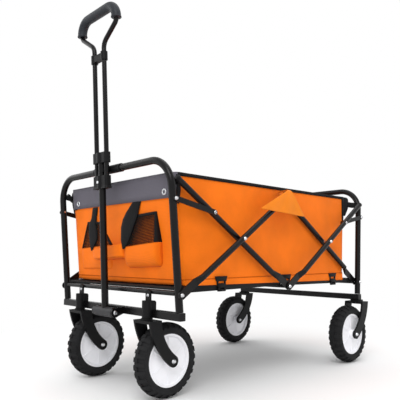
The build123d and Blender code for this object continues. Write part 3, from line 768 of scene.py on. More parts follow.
    def facing_point(self, side: Side, across: float, up: float) -> Place:
        """Gives a point of the turned-up hem, which follows the shell round its lower corners.

        Args:
            side: side of the wagon.
            across: share of its length, -1 to 1.
            up: share of its height, 0 to 1.

        Returns:
            The point's place.
        """
        start, stop = self.front_hem + self.facing_ends[0], self.rear_hem - self.facing_ends[1]
        y = mix(start, stop, (across + 1) / 2)
        turned = max(0.0, self.front_hem + self.corner - y, y - self.rear_hem + self.corner)
        inward = self.corner - math.sqrt(self.corner**2 - turned**2)
        low = self.hem - self.droop(y) + self.facing_lift * (turned / self.corner) ** 2
        out = self.half_width + self.facing_gap - inward
        return (side.value * out, y, mix(low, self.facing_top, up))

    def hem_facing(self, side: Side) -> bpy.types.Object:
        """Makes the turned-up hem below the seam of a side wall, which hides the edge of the mat.

        Args:
            side: side of the wagon.

        Returns:
            The facing.
        """
        mesh = Bench.sheet(partial(self.facing_point, side), columns=180, rows=4)
        return self.sewn(f"tub_hem_facing_{side.word}", mesh, ORANGE_CLOTH, "orange_cloth",
                         wall=1.0, grow=Grow.BOTH)

    def eyelet(self, side: Side) -> bpy.types.Object:
        """Makes a metal eyelet in the front band: a bead spun round its hole.

        Args:
            side: side of the wagon.

        Returns:
            The eyelet.
        """
        upright = Matrix.Rotation(math.pi / 2, 4, "X")
        mesh = bmesh.new()
        bmesh.ops.create_circle(mesh, segments=10, radius=self.eyelet_bead,
                                matrix=Matrix.Translation((self.eyelet_ring, 0, 0)) @ upright)
        bmesh.ops.spin(mesh, geom=mesh.verts[:] + mesh.edges[:], cent=(0, 0, 0), axis=(0, 0, 1),
                       angle=math.tau, steps=24, use_merge=True)
        bmesh.ops.remove_doubles(mesh, verts=mesh.verts, dist=0.01)
        bmesh.ops.recalc_face_normals(mesh, faces=mesh.faces)
        out, height = self.eyelet_place
        where = Matrix.Translation((side.value * out, self.front_face(height) - self.eyelet_off, height))
        bmesh.ops.transform(mesh, matrix=where @ upright, verts=mesh.verts)
        return self.sewn(f"band_eyelet_{side.word}", mesh, BRIGHT_STEEL, "bright_steel")

    def build(self) -> None:
        """Builds the shell and the trims sewn to it."""
        shell = self.sewn("tub_shell", self.plain_shell(), ORANGE_CLOTH, "orange_cloth",
                          wall=self.cloth, smooth=1)
        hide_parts("tub_front_panel", "tub_rear_panel", "tub_left_front", "tub_left_rear",
                    "tub_right_front", "tub_right_rear")
        edge = [(Axis.Z, self.rim - self.binding_depth, FAR),
                (Axis.Y, self.front_rim + self.binding_start, FAR)]
        trims = [
            self.strip("tub_rim_binding", edge, BINDING, "black_cloth", proud=0.0, wall=self.binding_wall,
                       grow=Grow.BOTH),
            self.strip("tub_hem_seam", [(Axis.Z, *self.seam)], SEAM_THREAD, "orange_cloth", proud=0.1,
                       wall=0.7),
        ]
        front = [(Axis.Z, self.band_foot, FAR), (Axis.Y, -FAR, self.front_rim + self.band_lap)]
        band = self.strip("tub_front_band", front, GREY_CLOTH, None, proud=0.8, wall=2.2)
        for side in Side:
            trims += [self.corner_tape(End.REAR, side), self.corner_tape(End.FRONT, side)]
            trims.append(self.hem_facing(side))
        [self.eyelet(side) for side in Side]


@dataclass
class Floor:
    """The folding floor mat, which lies on the base tubes, with a stiff edge along each half."""

    tub: Tub
    level: float = 258.3
    thick: float = 6.0
    # The rear base tube is lower than the front one, and the mat lies on both
    fall: float = 3.0
    start: float = -4.5
    stop: float = 789.5
    rounding: float = 2.0
    # Fold lines, by their share of the length, their depth and half width
    folds: tuple[float, ...] = (0.25, 0.5, 0.75)
    fold_depth: float = 1.6
    fold_reach: float = 7.0
    # Stiff edges: where each half runs, thickness, height, place by the hem, and more depth in front
    front_half: Pair = (2.0, 383.0)
    rear_half: Pair = (402.0, 783.0)
    edge_thick: float = 1.5
    edge_tall: float = 8.6
    edge_gap: float = 0.95
    edge_drop: float = 4.5
    edge_rounding: float = 0.6
    front_depth: float = 7.7

    def edge(self, end: End, half: Pair, side: Side) -> bpy.types.Object:
        """Makes the stiff edge of one half of the floor, along the drooping hem.

        Args:
            end: end of the wagon.
            half: where the half starts and ends.
            side: side of the wagon.

        Returns:
            The edge.
        """
        low, high = half
        level = self.tub.hem - self.edge_drop
        place = (side.value * (self.tub.half_width + self.edge_gap), (low + high) / 2, level)
        mesh = Bench.block((self.edge_thick, high - low, self.edge_tall), place, self.edge_rounding)
        for vert in mesh.verts:
            drop = self.tub.droop(vert.co.y)
            if end is End.FRONT and vert.co.z < level:
                drop += self.front_depth * (1 - vert.co.y / high)
            vert.co.z -= drop
        return self.tub.sewn(f"floor_edge_{end.value}_{side.word}", mesh, BLACK_PLASTIC, "black_plastic")

    def build(self) -> None:
        """Makes the mat with its fold lines, and its four edges."""
        wide, long = 2 * self.tub.half_width, self.stop - self.start
        half_up = self.level + self.thick / 2
        middle = (0.0, (self.start + self.stop) / 2, half_up)
        mesh = Bench.block((wide, long, self.thick), middle, self.rounding)
        Bench.divide(mesh, Axis.Y, cuts=63)
        Bench.divide(mesh, Axis.X, cuts=12)
        for vert in mesh.verts:
            run = (vert.co.y - self.start) / long
            if vert.co.z > half_up:
                near = long * min(abs(run - fold) for fold in self.folds)
                vert.co.z -= self.fold_depth * math.exp(-((near / self.fold_reach) ** 2))
            vert.co.z -= self.fall * run
        mat = self.tub.sewn("tub_floor_mat", mesh, BLACK_CLOTH, "black_cloth")
        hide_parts("tub_floor_front", "tub_floor_rear")
        halves = ((End.FRONT, self.front_half), (End.REAR, self.rear_half))
        edges = [self.edge(end, half, side) for side in Side for end, half in halves]


@dataclass
class Flaps:
    """The pointed flap that hangs from the rim over the top centre joint of each side."""

    tub: Tub
    # Corners as (Y, height), and half the width left at the crest
    crest: Pair = (384.0, 519.5)
    front_foot: Pair = (250.0, 458.0)
    rear_foot: Pair = (447.0, 446.5)
    half_crest: float = 5.0
    # Share up the flap, distance out and share of the fall, from the hanging edge to the rim
    profile: tuple[Place, ...] = (
        (0.0, 280.5, 0.0), (0.5, 279.5, 0.65), (0.72, 277.5, 0.94), (0.78, 273.0, 1.0), (1.0, 236.5, 1.0),
    )
    # The tongue that runs in under the rim falls a little
    tongue_from: float = 0.78
    tongue_drop: float = 4.0
    ripple: float = 1.2
    ripple_waves: float = 7.0
    wall: float = 1.2
    flat: Pair = (0.2, 0.112)
    flat_area: float = 0.0079

    def point(self, side: Side, across: float, up: float) -> Place:
        """Gives a point of a flap.

        Args:
            side: side of the wagon.
            across: share of its width, -1 to 1.
            up: share of its height, 0 to 1.

        Returns:
            The point's place.
        """
        out, fall = self.profile[-1][1:]
        for low, high in zip(self.profile, self.profile[1:]):
            if low[0] <= up <= high[0]:
                step = (up - low[0]) / (high[0] - low[0])
                out, fall = mix(low[1], high[1], step), mix(low[2], high[2], step)
        foot_y, foot_z = [mix(a, b, (across + 1) / 2) for a, b in zip(self.front_foot, self.rear_foot)]
        tongue = max(0.0, up - self.tongue_from) / (1 - self.tongue_from)
        ripple = self.ripple * math.sin(self.ripple_waves * across) * (1 - fall)
        y = mix(foot_y, self.crest[0] + self.half_crest * across, fall)
        z = mix(foot_z, self.crest[1], fall) - self.tongue_drop * tongue
        return (side.value * (out + ripple), y, z)

    def build(self) -> None:
        """Makes both flaps."""
        for side in Side:
            mesh = Bench.sheet(partial(self.point, side), columns=16, rows=18)
            # The flaps take the orange cloth painted paler, as a painted highlight
            flap = self.tub.sewn(f"tub_flap_{side.word}", mesh, FLAP_CLOTH_PAINTED_LIT, "orange_cloth",
                                 wall=self.wall, grow=Grow.BOTH, smooth=1)


@dataclass
class FloorClips:
    """Three tabs with buckles per side, which hold the hem down to the floor's edge."""

    tub: Tub
    # Y of each clip, and how far it hangs lower than it is drawn here
    places: tuple[Pair, ...] = ((147.0, 3.2), (414.0, 5.7), (656.0, 8.0))
    # The cloth tab, wider at its top
    tab_size: Place = (2.4, 36.0, 12.0)
    tab_out: float = 237.4
    tab_height: float = 283.0
    tab_rounding: float = 0.8
    tab_taper: float = 0.22
    # The buckle's bars, arms and hook: size, place from the clip's middle, and radius of the edges
    blocks: tuple[tuple[Place, Place, float], ...] = (
        ((5.0, 27.0, 11.0), (238.4, 0.0, 266.5), 1.2),
        ((5.0, 27.0, 4.0), (238.4, 0.0, 254.0), 1.2),
        ((3.0, 5.0, 14.0), (237.6, -13.0, 272.0), 1.0),
        ((5.0, 6.0, 12.0), (238.4, -10.5, 258.5), 1.2),
        ((3.0, 5.0, 14.0), (237.6, 13.0, 272.0), 1.0),
        ((5.0, 6.0, 12.0), (238.4, 10.5, 258.5), 1.2),
        ((10.0, 13.0, 6.0), (235.6, 0.0, 255.0), 1.6),
    )

    def clip(self, side: Side, y: float, drop: float) -> bmesh.types.BMesh:
        """Draws one clip.

        Args:
            side: side of the wagon.
            y: its place along the hem.
            drop: how far it hangs lower.

        Returns:
            The clip's mesh.
        """
        tall = self.tab_size[2]
        foot = self.tab_height - tall / 2
        place = (side.value * self.tab_out, y, self.tab_height)
        mesh = Bench.block(self.tab_size, place, self.tab_rounding)
        for vert in mesh.verts:
            vert.co.y += (vert.co.y - y) * self.tab_taper * (vert.co.z - foot) / tall
        for size, (out, along, height), edge in self.blocks:
            Bench.join(mesh, Bench.block(size, (side.value * out, y + along, height), edge))
        bmesh.ops.translate(mesh, vec=(0, 0, -drop), verts=mesh.verts)
        return mesh

    def build(self) -> None:
        """Makes all six clips."""
        for side in Side:
            for number, (y, drop) in enumerate(self.places, 1):
                name = f"floor_clip_{side.word}_{number}"
                self.tub.sewn(name, self.clip(side, y, drop), BLACK_PLASTIC, "black_plastic")


@dataclass(frozen=True)
class Outline:
    """Corners of a pouch panel on the front wall, as (X, height)."""

    low_left: Pair
    low_right: Pair
    top_left: Pair
    top_right: Pair

    def point(self, across: float, up: float) -> Pair:
        """Gives a place in the outline.

        Args:
            across: share of its width, -1 to 1.
            up: share of its height, 0 to 1.

        Returns:
            X and height.
        """
        share = (across + 1) / 2
        low = [mix(a, b, share) for a, b in zip(self.low_left, self.low_right)]
        top = [mix(a, b, share) for a, b in zip(self.top_left, self.top_right)]
        return (mix(low[0], top[0], up), mix(low[1], top[1], up))

    @property
    def size(self) -> Pair:
        """Mean width and height."""
        wide = (self.low_right[0] - self.low_left[0] + self.top_right[0] - self.top_left[0]) / 2
        tall = (self.top_left[1] - self.low_left[1] + self.top_right[1] - self.low_right[1]) / 2
        return (wide, tall)


@dataclass(frozen=True)
class Bulge:
    """Form of a panel that stands off the front wall between its sewn edges."""

    tub: Tub
    outline: Outline
    # Distance off the wall at the foot and at the top
    low: float
    high: float
    # Share of the height over which the foot curves back to the wall
    bottom: float = 0.0
    gap: float = 0.6
    # Flat over most of the width and steep at the sewn sides: power and root of the curve across
    side_power: float = 5.0
    side_root: float = 0.25
    ripple: float = 0.8
    ripple_waves: float = 5.0
    ripple_start: float = 1.0
    # Lower corners: where they start across the panel, and how far they are rounded up
    corner_from: float = 0.86
    corner_rise: float = 9.0

    def point(self, across: float, up: float) -> Place:
        """Gives a point of the panel.

        Args:
            across: share of its width, -1 to 1.
            up: share of its height, 0 to 1.

        Returns:
            The point's place.
        """
        x, z = self.outline.point(across, up)
        side = (1 - abs(across) ** self.side_power) ** self.side_root
        foot = 1.0
        if up < self.bottom:
            rest = 1 - up / self.bottom
            foot = math.sqrt(max(0.0, 1 - rest**2))
            near = max(0.0, (abs(across) - self.corner_from) / (1 - self.corner_from))
            z += self.corner_rise * (1 - math.sqrt(max(0.0, 1 - near**2))) * rest
        away = mix(self.low, self.high, up) * side * foot
        wave = math.sin(self.ripple_waves * across + self.ripple_start) * math.sin(math.pi * up)
        return (x, self.tub.front_face(z) - self.gap - away - self.ripple * wave * side, z)


@dataclass(frozen=True)
class PouchSizes:
    """One front pouch: a cloth bucket, a net above it and a wide strap from the band."""

    side: Side
    bucket: Outline
    net: Outline
    depth: float
    # Strap edges as (height, left X, right X, distance off the wall)
    strap: tuple[tuple[float, float, float, float], ...]


RIGHT_POUCH = PouchSizes(
    Side.RIGHT,
    Outline((32, 304), (171, 310), (36, 358), (175, 369)),
    Outline((38, 357), (174, 369), (81, 439), (162, 443)),
    23.0,
    ((353, 43, 51, 25.5), (377, 32, 68, 21), (410, 28, 82, 15), (430, 32, 90, 10.5), (446, 42, 94, 7),
     (472, 68, 103, 3)),
)
LEFT_POUCH = PouchSizes(
    Side.LEFT,
    Outline((-197, 297), (-42, 300), (-193, 357), (-36, 366)),
    Outline((-192, 357), (-34, 366), (-153, 432), (-85, 429)),
    6.0,
    ((350, -134, -128, 9.5), (379, -141, -102, 8.5), (396, -143, -100, 8), (424, -142, -106, 6.5),
     (440, -129, -104, 5), (470, -122, -96, 3)),
)


@dataclass
class Pouches:
    """The pouches sewn to the front wall: two with nets, and a low pocket between them."""

    tub: Tub
    cloth: float = 1.5
    bucket_bottom: float = 0.6
    # Net and tape stand off the bucket, and come nearer to the wall at their top
    net_off: float = 0.6
    net_top: float = 4.0
    net_cell: float = 4.0
    net_strand: float = 1.5
    net_allowance: float = 6.0
    tape_off: float = 1.4
    tape_top: float = 4.8
    tape_width: float = 7.0
    tape_wall: float = 1.4
    strap_wall: float = 1.8
    strap_crown: float = 1.5
    pocket: Outline = Outline((-104, 322), (44, 329), (-110, 350), (46, 367))
    pocket_depth: float = 30.0
    pocket_bottom: float = 0.22

    def strap_point(self, sizes: PouchSizes, across: float, up: float) -> Place:
        """Gives a point of a pouch's strap.

        Args:
            sizes: the pouch's sizes.
            across: share of its width, -1 to 1.
            up: share of its length, 0 to 1.

        Returns:
            The point's place.
        """
        last = len(sizes.strap) - 1
        index = min(int(up * last), last - 1)
        steps = zip(sizes.strap[index], sizes.strap[index + 1])
        z, left, right, off = [mix(a, b, up * last - index) for a, b in steps]
        crown = self.strap_crown * (1 - across * across)
        return (mix(left, right, (across + 1) / 2), self.tub.front_face(z) - off - crown, z)

    def strap(self, sizes: PouchSizes) -> bpy.types.Object:
        """Makes the wide strap that holds a pouch up to the band.

        Args:
            sizes: the pouch's sizes.

        Returns:
            The strap.
        """
        rows = 5 * (len(sizes.strap) - 1)
        mesh = Bench.sheet(partial(self.strap_point, sizes), columns=6, rows=rows)
        name = f"pouch_strap_{sizes.side.word}"
        return self.tub.sewn(name, mesh, BINDING, "black_cloth", wall=self.strap_wall)

    def bag(self, name: str, panel: Bulge, columns: int, rows: int) -> bpy.types.Object:
        """Makes a cloth panel that stands off the wall.

        Args:
            name: piece name.
            panel: its form.
            columns: faces across.
            rows: faces up.

        Returns:
            The panel.
        """
        mesh = Bench.sheet(panel.point, columns, rows)
        return self.tub.sewn(name, mesh, ORANGE_CLOTH, "orange_cloth", wall=self.cloth, smooth=1)

    @staticmethod
    def on_tape(side: float, top: float, across: float, up: float) -> bool:
        """Tells whether a place on a net is past the side or top shares where its tape starts."""
        return abs(across) > side or up > top

    def pouch(self, sizes: PouchSizes) -> None:
        """Builds one pouch with its net, tape and strap.

        Args:
            sizes: the pouch's sizes.
        """
        word, depth = sizes.side.word, sizes.depth
        panel = Bulge(self.tub, sizes.bucket, depth, depth, self.bucket_bottom)
        bucket = self.bag(f"pouch_bucket_{word}", panel, columns=28, rows=16)
        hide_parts(f"pocket_{word}")
        wide, tall = sizes.net.size
        mesh_form = Bulge(self.tub, sizes.net, depth + self.net_off, self.net_top)
        mesh = Bench.sheet(mesh_form.point, round(wide / self.net_cell), round(tall / self.net_cell))
        net = self.tub.sewn(f"pouch_net_{word}", mesh, NET, "black_cloth", strand=self.net_strand)
        edge, top = 2 * self.tape_width / wide, self.tape_width / tall
        tape_form = Bulge(self.tub, sizes.net, depth + self.tape_off, self.tape_top)
        keep = partial(self.on_tape, 1 - edge, 1 - top)
        tape_mesh = Bench.sheet(tape_form.point, columns=36, rows=24, keep=keep)
        tape = self.tub.sewn(f"pouch_tape_{word}", tape_mesh, BINDING, "black_cloth",
                             wall=self.tape_wall)
        strap = self.strap(sizes)

    def build(self) -> None:
        """Builds both pouches and the low pocket."""
        self.pouch(RIGHT_POUCH)
        self.pouch(LEFT_POUCH)
        depth = self.pocket_depth
        panel = Bulge(self.tub, self.pocket, depth, depth, self.pocket_bottom)
        pocket = self.bag("pouch_middle", panel, columns=24, rows=12)


@dataclass
class Grip:
    """The foam sleeve on the handle loop, with a rolled lip at each end."""

    half: float = 82.0
    start: float = 744.0
    top: float = 783.0
    bend: float = 34.0
    radius: float = 12.5
    # The lip: height over the sleeve, rounding at its end, length of each slope and of its flat
    lip: float = 1.1
    lip_round: float = 1.0
    lip_slope: float = 0.8
    lip_flat: float = 2.4
    runs: int = 8
    pivot: Place = (0.0, -33.0, 195.0)
    lean: float = 3.0

    def advance(self, mesh: bmesh.types.BMesh, ring: list[bmesh.types.BMEdge], move: Vector,
                grow: float = 0.0) -> list[bmesh.types.BMEdge]:
        """Draws the sleeve on by a straight length.

        Args:
            mesh: the sleeve so far.
            ring: its last ring of edges.
            move: the length and direction.
            grow: change of the ring's radius.

        Returns:
            The new last ring.
        """
        made = bmesh.ops.extrude_edge_only(mesh, edges=ring)["geom"]
        verts = [part for part in made if isinstance(part, bmesh.types.BMVert)]
        bmesh.ops.translate(mesh, vec=move, verts=verts)
        if grow:
            middle = sum((vert.co for vert in verts), Vector()) / len(verts)
            size = 1 + grow / (verts[0].co - middle).length
            bmesh.ops.scale(mesh, vec=(size, size, size), space=Matrix.Translation(-middle), verts=verts)
        return [part for part in made if isinstance(part, bmesh.types.BMEdge)]

    def turn(self, mesh: bmesh.types.BMesh, ring: list[bmesh.types.BMEdge],
             centre: Place) -> list[bmesh.types.BMEdge]:
        """Draws the sleeve round a quarter bend and returns its last ring."""
        made = bmesh.ops.spin(mesh, geom=ring, cent=centre, axis=(0, 1, 0), angle=-math.pi / 2, steps=12)
        return [part for part in made["geom_last"] if isinstance(part, bmesh.types.BMEdge)]

    def build(self) -> None:
        """Builds the sleeve along the loop, from one lip to the other."""
        straight, level = self.half - self.bend, self.top - self.bend
        up = Vector((0, 0, 1))
        upright = level - self.start - 2 * self.lip_slope - self.lip_flat
        # Length and change of radius of each stretch, from the end of the lip to the bend
        legs = ((self.lip_slope, self.lip_round), (self.lip_flat, 0.0), (self.lip_slope, -self.lip),
                (upright, 0.0))
        mesh = bmesh.new()
        bmesh.ops.create_circle(mesh, segments=28, radius=self.radius + self.lip - self.lip_round,
                                matrix=Matrix.Translation((self.half, 0, self.start)))
        ring = mesh.edges[:]
        for length, grow in legs:
            ring = self.advance(mesh, ring, up * length, grow)
        ring = self.turn(mesh, ring, (straight, 0, level))
        for _ in range(self.runs):
            ring = self.advance(mesh, ring, Vector((-2 * straight / self.runs, 0, 0)))
        ring = self.turn(mesh, ring, (-straight, 0, level))
        for length, grow in reversed(legs):
            ring = self.advance(mesh, ring, up * -length, -grow)
        bmesh.ops.holes_fill(mesh, edges=mesh.edges[:], sides=40)
        bmesh.ops.recalc_face_normals(mesh, faces=mesh.faces[:])
        lean = Matrix.Rotation(math.radians(self.lean), 4, "X")
        bmesh.ops.transform(mesh, matrix=Matrix.Translation(self.pivot) @ lean, verts=mesh.verts)
        made = Bench.piece("grip_sleeve", mesh, GRIP_FOAM, "handle_upper", "grip_foam")
        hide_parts("handle_grip")


@dataclass
class Rivets:
    """Bright caps on the rivets of the stays and of the caster tabs."""

    # End, distance out, Y and body of the stays' rivets
    stays: tuple[tuple[End, float, float, str], ...] = (
        (End.FRONT, 262.6, 102.57, "front_stays"),
        (End.REAR, 278.2, 682.43, "falling_rear"),
    )
    stay_height: float = 440.0
    # Radius and height of a cap
    stay_cap: Pair = (5.1, 3.3)
    tab_cap: Pair = (4.4, 2.4)
    tab_place: Place = (152.0, -14.95, 243.0)

    @staticmethod
    def dome(name: str, place: Place, facing: Place, cap: Pair, body: str) -> None:
        """Makes one domed cap.

        Args:
            name: piece name.
            place: middle of its foot.
            facing: way that it looks.
            cap: its radius and height.
            body: CAD body that it rides on.
        """
        radius, height = cap
        mesh = bmesh.new()
        bmesh.ops.create_uvsphere(mesh, u_segments=20, v_segments=12, radius=radius)
        Bench.cut_off(mesh, (0, 0, 0), (0, 0, -1))
        bmesh.ops.scale(mesh, vec=(1, 1, height / radius), verts=mesh.verts)
        bmesh.ops.holes_fill(mesh, edges=mesh.edges[:], sides=24)
        turn = Vector(facing).to_track_quat("Z", "Y").to_matrix().to_4x4()
        bmesh.ops.transform(mesh, matrix=Matrix.Translation(place) @ turn, verts=mesh.verts)
        Bench.piece(name, mesh, BRIGHT_STEEL, body, "bright_steel")

    def build(self) -> None:
        """Makes all caps."""
        for side in Side:
            sign, word = side.value, side.word
            for end, out, y, body in self.stays:
                place = (sign * out, y, self.stay_height)
                self.dome(f"stay_rivet_{end.value}_{word}", place, (sign, 0, 0), self.stay_cap, body)
            out, y, height = self.tab_place
            self.dome(f"tab_rivet_{word}", (sign * out, y, height), (0, -1, 0), self.tab_cap, "front_frame")


@dataclass(frozen=True)
class CornerSizes:
    """The tab and strap at an upper corner of the tub."""

    end: End
    # The tab: foot height, rise, width at its foot and above
    foot: float
    rise: float
    foot_width: float
    full_width: float
    # The strap: width, and its ends at the tab and at the leg, as (X, Y)
    strap_width: float
    strap_start: Pair
    strap_stop: Pair


FRONT_CORNER = CornerSizes(End.FRONT, 457.0, 68.0, 7.0, 15.0, 13.0, (240.0, -1.0), (246.0, -18.0))
REAR_CORNER = CornerSizes(End.REAR, 468.0, 63.0, 8.0, 27.0, 18.0, (235.0, 768.0), (246.0, 803.0))


@dataclass
class CornerStraps:
    """Webbing tabs that stand out at the tub's top corners, each tied to its leg by a short strap."""

    tub: Tub
    # Where a tab starts: X and distance behind the wall in front, X and distance inside it at the rear
    front_start: Pair = (231.0, 5.0)
    rear_start: Pair = (232.5, 4.0)
    rear_spread: float = 2.0
    # Shares of a tab's height: where its taper ends and where its round upper corner starts
    taper_to: float = 0.45
    round_from: float = 0.8
    round_share: float = 0.45
    tab_wall: float = 2.0
    strap_level: float = 508.0
    strap_sag: float = 2.0
    strap_wall: float = 1.6

    def tab_width(self, sizes: CornerSizes, up: float) -> float:
        """Gives the width of a tab, which is tapered below and has a round upper corner.

        Args:
            sizes: the corner's sizes.
            up: share of the tab's height.

        Returns:
            Its width there.
        """
        tapered = mix(sizes.foot_width, sizes.full_width, min(1.0, up / self.taper_to))
        turned = max(0.0, (up - self.round_from) / (1 - self.round_from))
        return tapered - self.round_share * sizes.full_width * (1 - math.sqrt(max(0.0, 1 - turned**2)))

    def tab_point(self, sizes: CornerSizes, side: Side, across: float, up: float) -> Place:
        """Gives a point of a tab, which stands sideways at the front and backwards at the rear.

        Args:
            sizes: the corner's sizes.
            side: side of the wagon.
            across: share of its width, -1 to 1.
            up: share of its height, 0 to 1.

        Returns:
            The point's place.
        """
        share = (across + 1) / 2
        height = sizes.foot + sizes.rise * up
        reach = share * self.tab_width(sizes, up)
        if sizes.end is End.FRONT:
            out, behind = self.front_start
            return (side.value * (out + reach), self.tub.front_face(height) + behind, height)
        out, inside = self.rear_start
        y = self.tub.rear_face(height) - inside + reach
        return (side.value * (out + self.rear_spread * share), y, height)

    def strap_point(self, sizes: CornerSizes, side: Side, across: float, up: float) -> Place:
        """Gives a point of a slightly slack strap from a tab to the back of the leg.

        Args:
            sizes: the corner's sizes.
            side: side of the wagon.
            across: share of its width, -1 to 1.
            up: share of its length, 0 to 1.

        Returns:
            The point's place.
        """
        x, y = [mix(a, b, up) for a, b in zip(sizes.strap_start, sizes.strap_stop)]
        sag = self.strap_sag * math.sin(math.pi * up)
        return (side.value * x, y, self.strap_level + across * sizes.strap_width / 2 - sag)

    def build(self) -> None:
        """Makes the four straps with their tabs."""
        for side in Side:
            for sizes in (FRONT_CORNER, REAR_CORNER):
                end, corner = sizes.end.value, f"{sizes.end.value}_{side.word}"
                mesh = Bench.sheet(partial(self.strap_point, sizes, side), columns=3, rows=10)
                strap = Bench.piece(f"corner_strap_{corner}", mesh, BINDING, f"{end}_frame", "black_cloth",
                                    wall=self.strap_wall, grow=Grow.BOTH)
                tab_mesh = Bench.sheet(partial(self.tab_point, sizes, side), columns=6, rows=20)
                tab = self.tub.sewn(f"corner_tab_{corner}", tab_mesh, BINDING, "black_cloth",
                                    wall=self.tab_wall, grow=Grow.BOTH)


@dataclass
class LinkCaps:
    """Plastic plugs in the upper ends of the falling links."""

    # End, distance out, and distance up the link from its crossing
    ends: tuple[tuple[End, float, float], ...] = ((End.FRONT, 251.0, 245.5), (End.REAR, 270.7, 229.5))
    # The front crossing as (Y, height), and the sum of both ends' Y, because the rear mirrors the front
    crossing: Pair = (196.5, 379.0)
    mirror: float = 785.0
    slope: float = 33.0
    radius: float = 8.1
    length: float = 9.0
    rounding: float = 1.6

    def build(self) -> None:
        """Makes one plug per falling link."""
        angle = math.radians(self.slope)
        for side in Side:
            for end, out, reach in self.ends:
                mesh = bmesh.new()
                bmesh.ops.create_cone(mesh, cap_ends=True, segments=24, radius1=self.radius,
                                      radius2=self.radius, depth=self.length)
                rims = [e for e in mesh.edges if abs(e.verts[0].co.z - e.verts[1].co.z) < 1e-6]
                bmesh.ops.bevel(mesh, geom=rims, offset=self.rounding, segments=3, profile=0.5,
                                affect="EDGES", material=-1)
                y = self.crossing[0] - reach * math.cos(angle)
                z = self.crossing[1] + reach * math.sin(angle)
                tilt = math.pi / 2 - angle
                if end is End.REAR:
                    y, tilt = self.mirror - y, -tilt
                where = Matrix.Translation((side.value * out, y, z)) @ Matrix.Rotation(tilt, 4, "X")
                bmesh.ops.transform(mesh, matrix=where, verts=mesh.verts)
                name = f"link_cap_{end.value}_{side.word}"
                Bench.piece(name, mesh, BLACK_PLASTIC, f"falling_{end.value}", "black_plastic")


class Frame:
    """The CAD pieces, which keep their shape and get their finishes."""

    finishes: dict[str, Finish] = {
        "black_steel": BLACK_STEEL,
        "bright_steel": BRIGHT_STEEL,
        "black_plastic": BLACK_PLASTIC,
        "grey_plastic": GREY_PLASTIC,
        "white_plastic": WHITE_PLASTIC,
        "tyre_rubber": TYRE_RUBBER,
        "grip_foam": GRIP_FOAM,
        "orange_cloth": ORANGE_CLOTH,
        "black_cloth": BLACK_CLOTH,
    }

    def build(self) -> None:
        """Gives every CAD node the finish of its record slot."""
        for part in frame["record"]["subparts"]:
            node = frame["nodes"][part["node"]]
            finish = self.finishes[part["material_slot"]]
            node.data.materials.clear()
            node.data.materials.append(finish.material())
            LOG.info("node %s in %s", part["node"], finish.name)


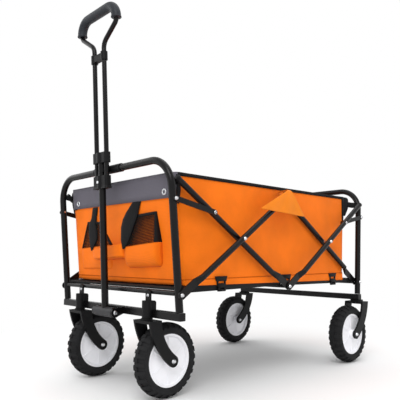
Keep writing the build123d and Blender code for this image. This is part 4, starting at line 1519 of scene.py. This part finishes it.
@dataclass
class Studio:
    """Camera, lamps, floor and backdrop."""

    eye: Place = (1098.5, -748.0, 338.4)
    yaw: float = 46.32
    pitch: float = 6.31
    lens: float = 44.62
    sensor: float = 36.0
    # Name, place and width in metres, and power in watts of each softbox
    lamps: tuple[tuple[str, Place, float, float], ...] = (
        ("key", (1.6, -2.0, 2.4), 1.6, 42.0),
        ("fill", (-2.2, -1.2, 1.6), 2.0, 14.0),
        ("top", (0.2, 0.4, 3.0), 2.2, 16.0),
    )
    aim: Place = (0.0, 0.0, 0.4)
    # The floor lies just under the tyres, and fades from paper to white between two distances
    floor_radius: float = 4.0
    floor_level: float = -0.0005
    floor_fade: Pair = (0.55, 1.15)
    paper: str = "#F4F4F4"
    white: str = "#FFFFFF"
    room_light: float = 0.9

    def camera(self) -> None:
        """Sets the camera where the photograph was taken from."""
        data = bpy.data.cameras.new("camera")
        data.sensor_width = self.sensor
        data.lens = self.lens
        data.clip_start = 0.01
        made = bpy.data.objects.new("camera", data)
        made.location = TO_ROW @ Vector(self.eye)
        made.rotation_euler = (math.radians(90 + self.pitch), 0.0, math.radians(self.yaw))
        bpy.context.scene.collection.objects.link(made)
        bpy.context.scene.camera = made

    def lamp(self, name: str, place: Place, size: float, power: float) -> None:
        """Adds a softbox that points at the wagon's middle.

        Args:
            name: lamp name.
            place: where it hangs, in metres.
            size: its width in metres.
            power: its power in watts.
        """
        data = bpy.data.lights.new(name, "AREA")
        data.size = size
        data.energy = power
        made = bpy.data.objects.new(name, data)
        made.location = place
        aim = Vector(self.aim) - Vector(place)
        made.rotation_euler = aim.to_track_quat("-Z", "Y").to_euler()
        bpy.context.scene.collection.objects.link(made)

    def floor(self) -> None:
        """Lays a pale floor that fades into the white backdrop."""
        mesh = bmesh.new()
        bmesh.ops.create_circle(mesh, cap_ends=True, segments=96, radius=self.floor_radius)
        data = bpy.data.meshes.new("studio_floor")
        mesh.to_mesh(data)
        mesh.free()
        made = bpy.data.objects.new("studio_floor", data)
        made.location = (0.0, 0.0, self.floor_level)
        paper = bpy.data.materials.new("studio_paper")
        paper.use_nodes = True
        tree = paper.node_tree
        tree.nodes.clear()
        place = add_node(tree, "TexCoord")
        far = add_node(tree, "VectorMath", {0: (place, "Object")}, operation="LENGTH")
        near, away = self.floor_fade
        fade = add_node(tree, "MapRange", {"Value": (far, "Value"), "From Min": near, "From Max": away},
                        interpolation_type="SMOOTHSTEP")
        matt = add_node(tree, "BsdfDiffuse", {"Color": linear(self.paper)})
        white = add_node(tree, "Emission", {"Color": linear(self.white), "Strength": 1.0})
        mixed = add_node(tree, "MixShader", {"Fac": (fade, "Result"), 1: (matt, 0), 2: (white, 0)})
        add_node(tree, "OutputMaterial", {"Surface": (mixed, 0)})
        data.materials.append(paper)
        bpy.context.scene.collection.objects.link(made)

    def backdrop(self) -> None:
        """Makes a white backdrop with plain soft light."""
        world = bpy.data.worlds.new("studio")
        bpy.context.scene.world = world
        world.use_nodes = True
        tree = world.node_tree
        tree.nodes.clear()
        ray = add_node(tree, "LightPath")
        soft = add_node(tree, "Background", {"Color": linear(self.white), "Strength": self.room_light})
        white = add_node(tree, "Background", {"Color": linear(self.white), "Strength": 1.0})
        # Bright metal and glossy paint mirror the same white backdrop that the camera sees
        seen = add_node(tree, "Math", {0: (ray, "Is Camera Ray"), 1: (ray, "Is Glossy Ray")},
                        operation="MAXIMUM")
        plain = add_node(tree, "Math", {0: (seen, 0), 1: (ray, "Is Transmission Ray")}, operation="MAXIMUM")
        mixed = add_node(tree, "MixShader", {"Fac": (plain, 0), 1: (soft, 0), 2: (white, 0)})
        add_node(tree, "OutputWorld", {"Surface": (mixed, 0)})

    def build(self) -> None:
        """Sets up the whole studio."""
        self.camera()
        for name, place, size, power in self.lamps:
            self.lamp(name, place, size, power)
        self.floor()
        self.backdrop()
        bpy.context.scene.view_settings.view_transform = "Standard"


def main() -> None:
    """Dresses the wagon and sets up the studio."""
    logging.basicConfig(level=logging.INFO, format="%(name)s: %(message)s")
    Frame().build()
    tub = Tub()
    tub.build()
    Floor(tub).build()
    Flaps(tub).build()
    FloorClips(tub).build()
    Pouches(tub).build()
    Grip().build()
    Rivets().build()
    CornerStraps(tub).build()
    LinkCaps().build()
    Studio().build()
    bpy.context.view_layer.update()


if __name__ == "__main__":
    main()
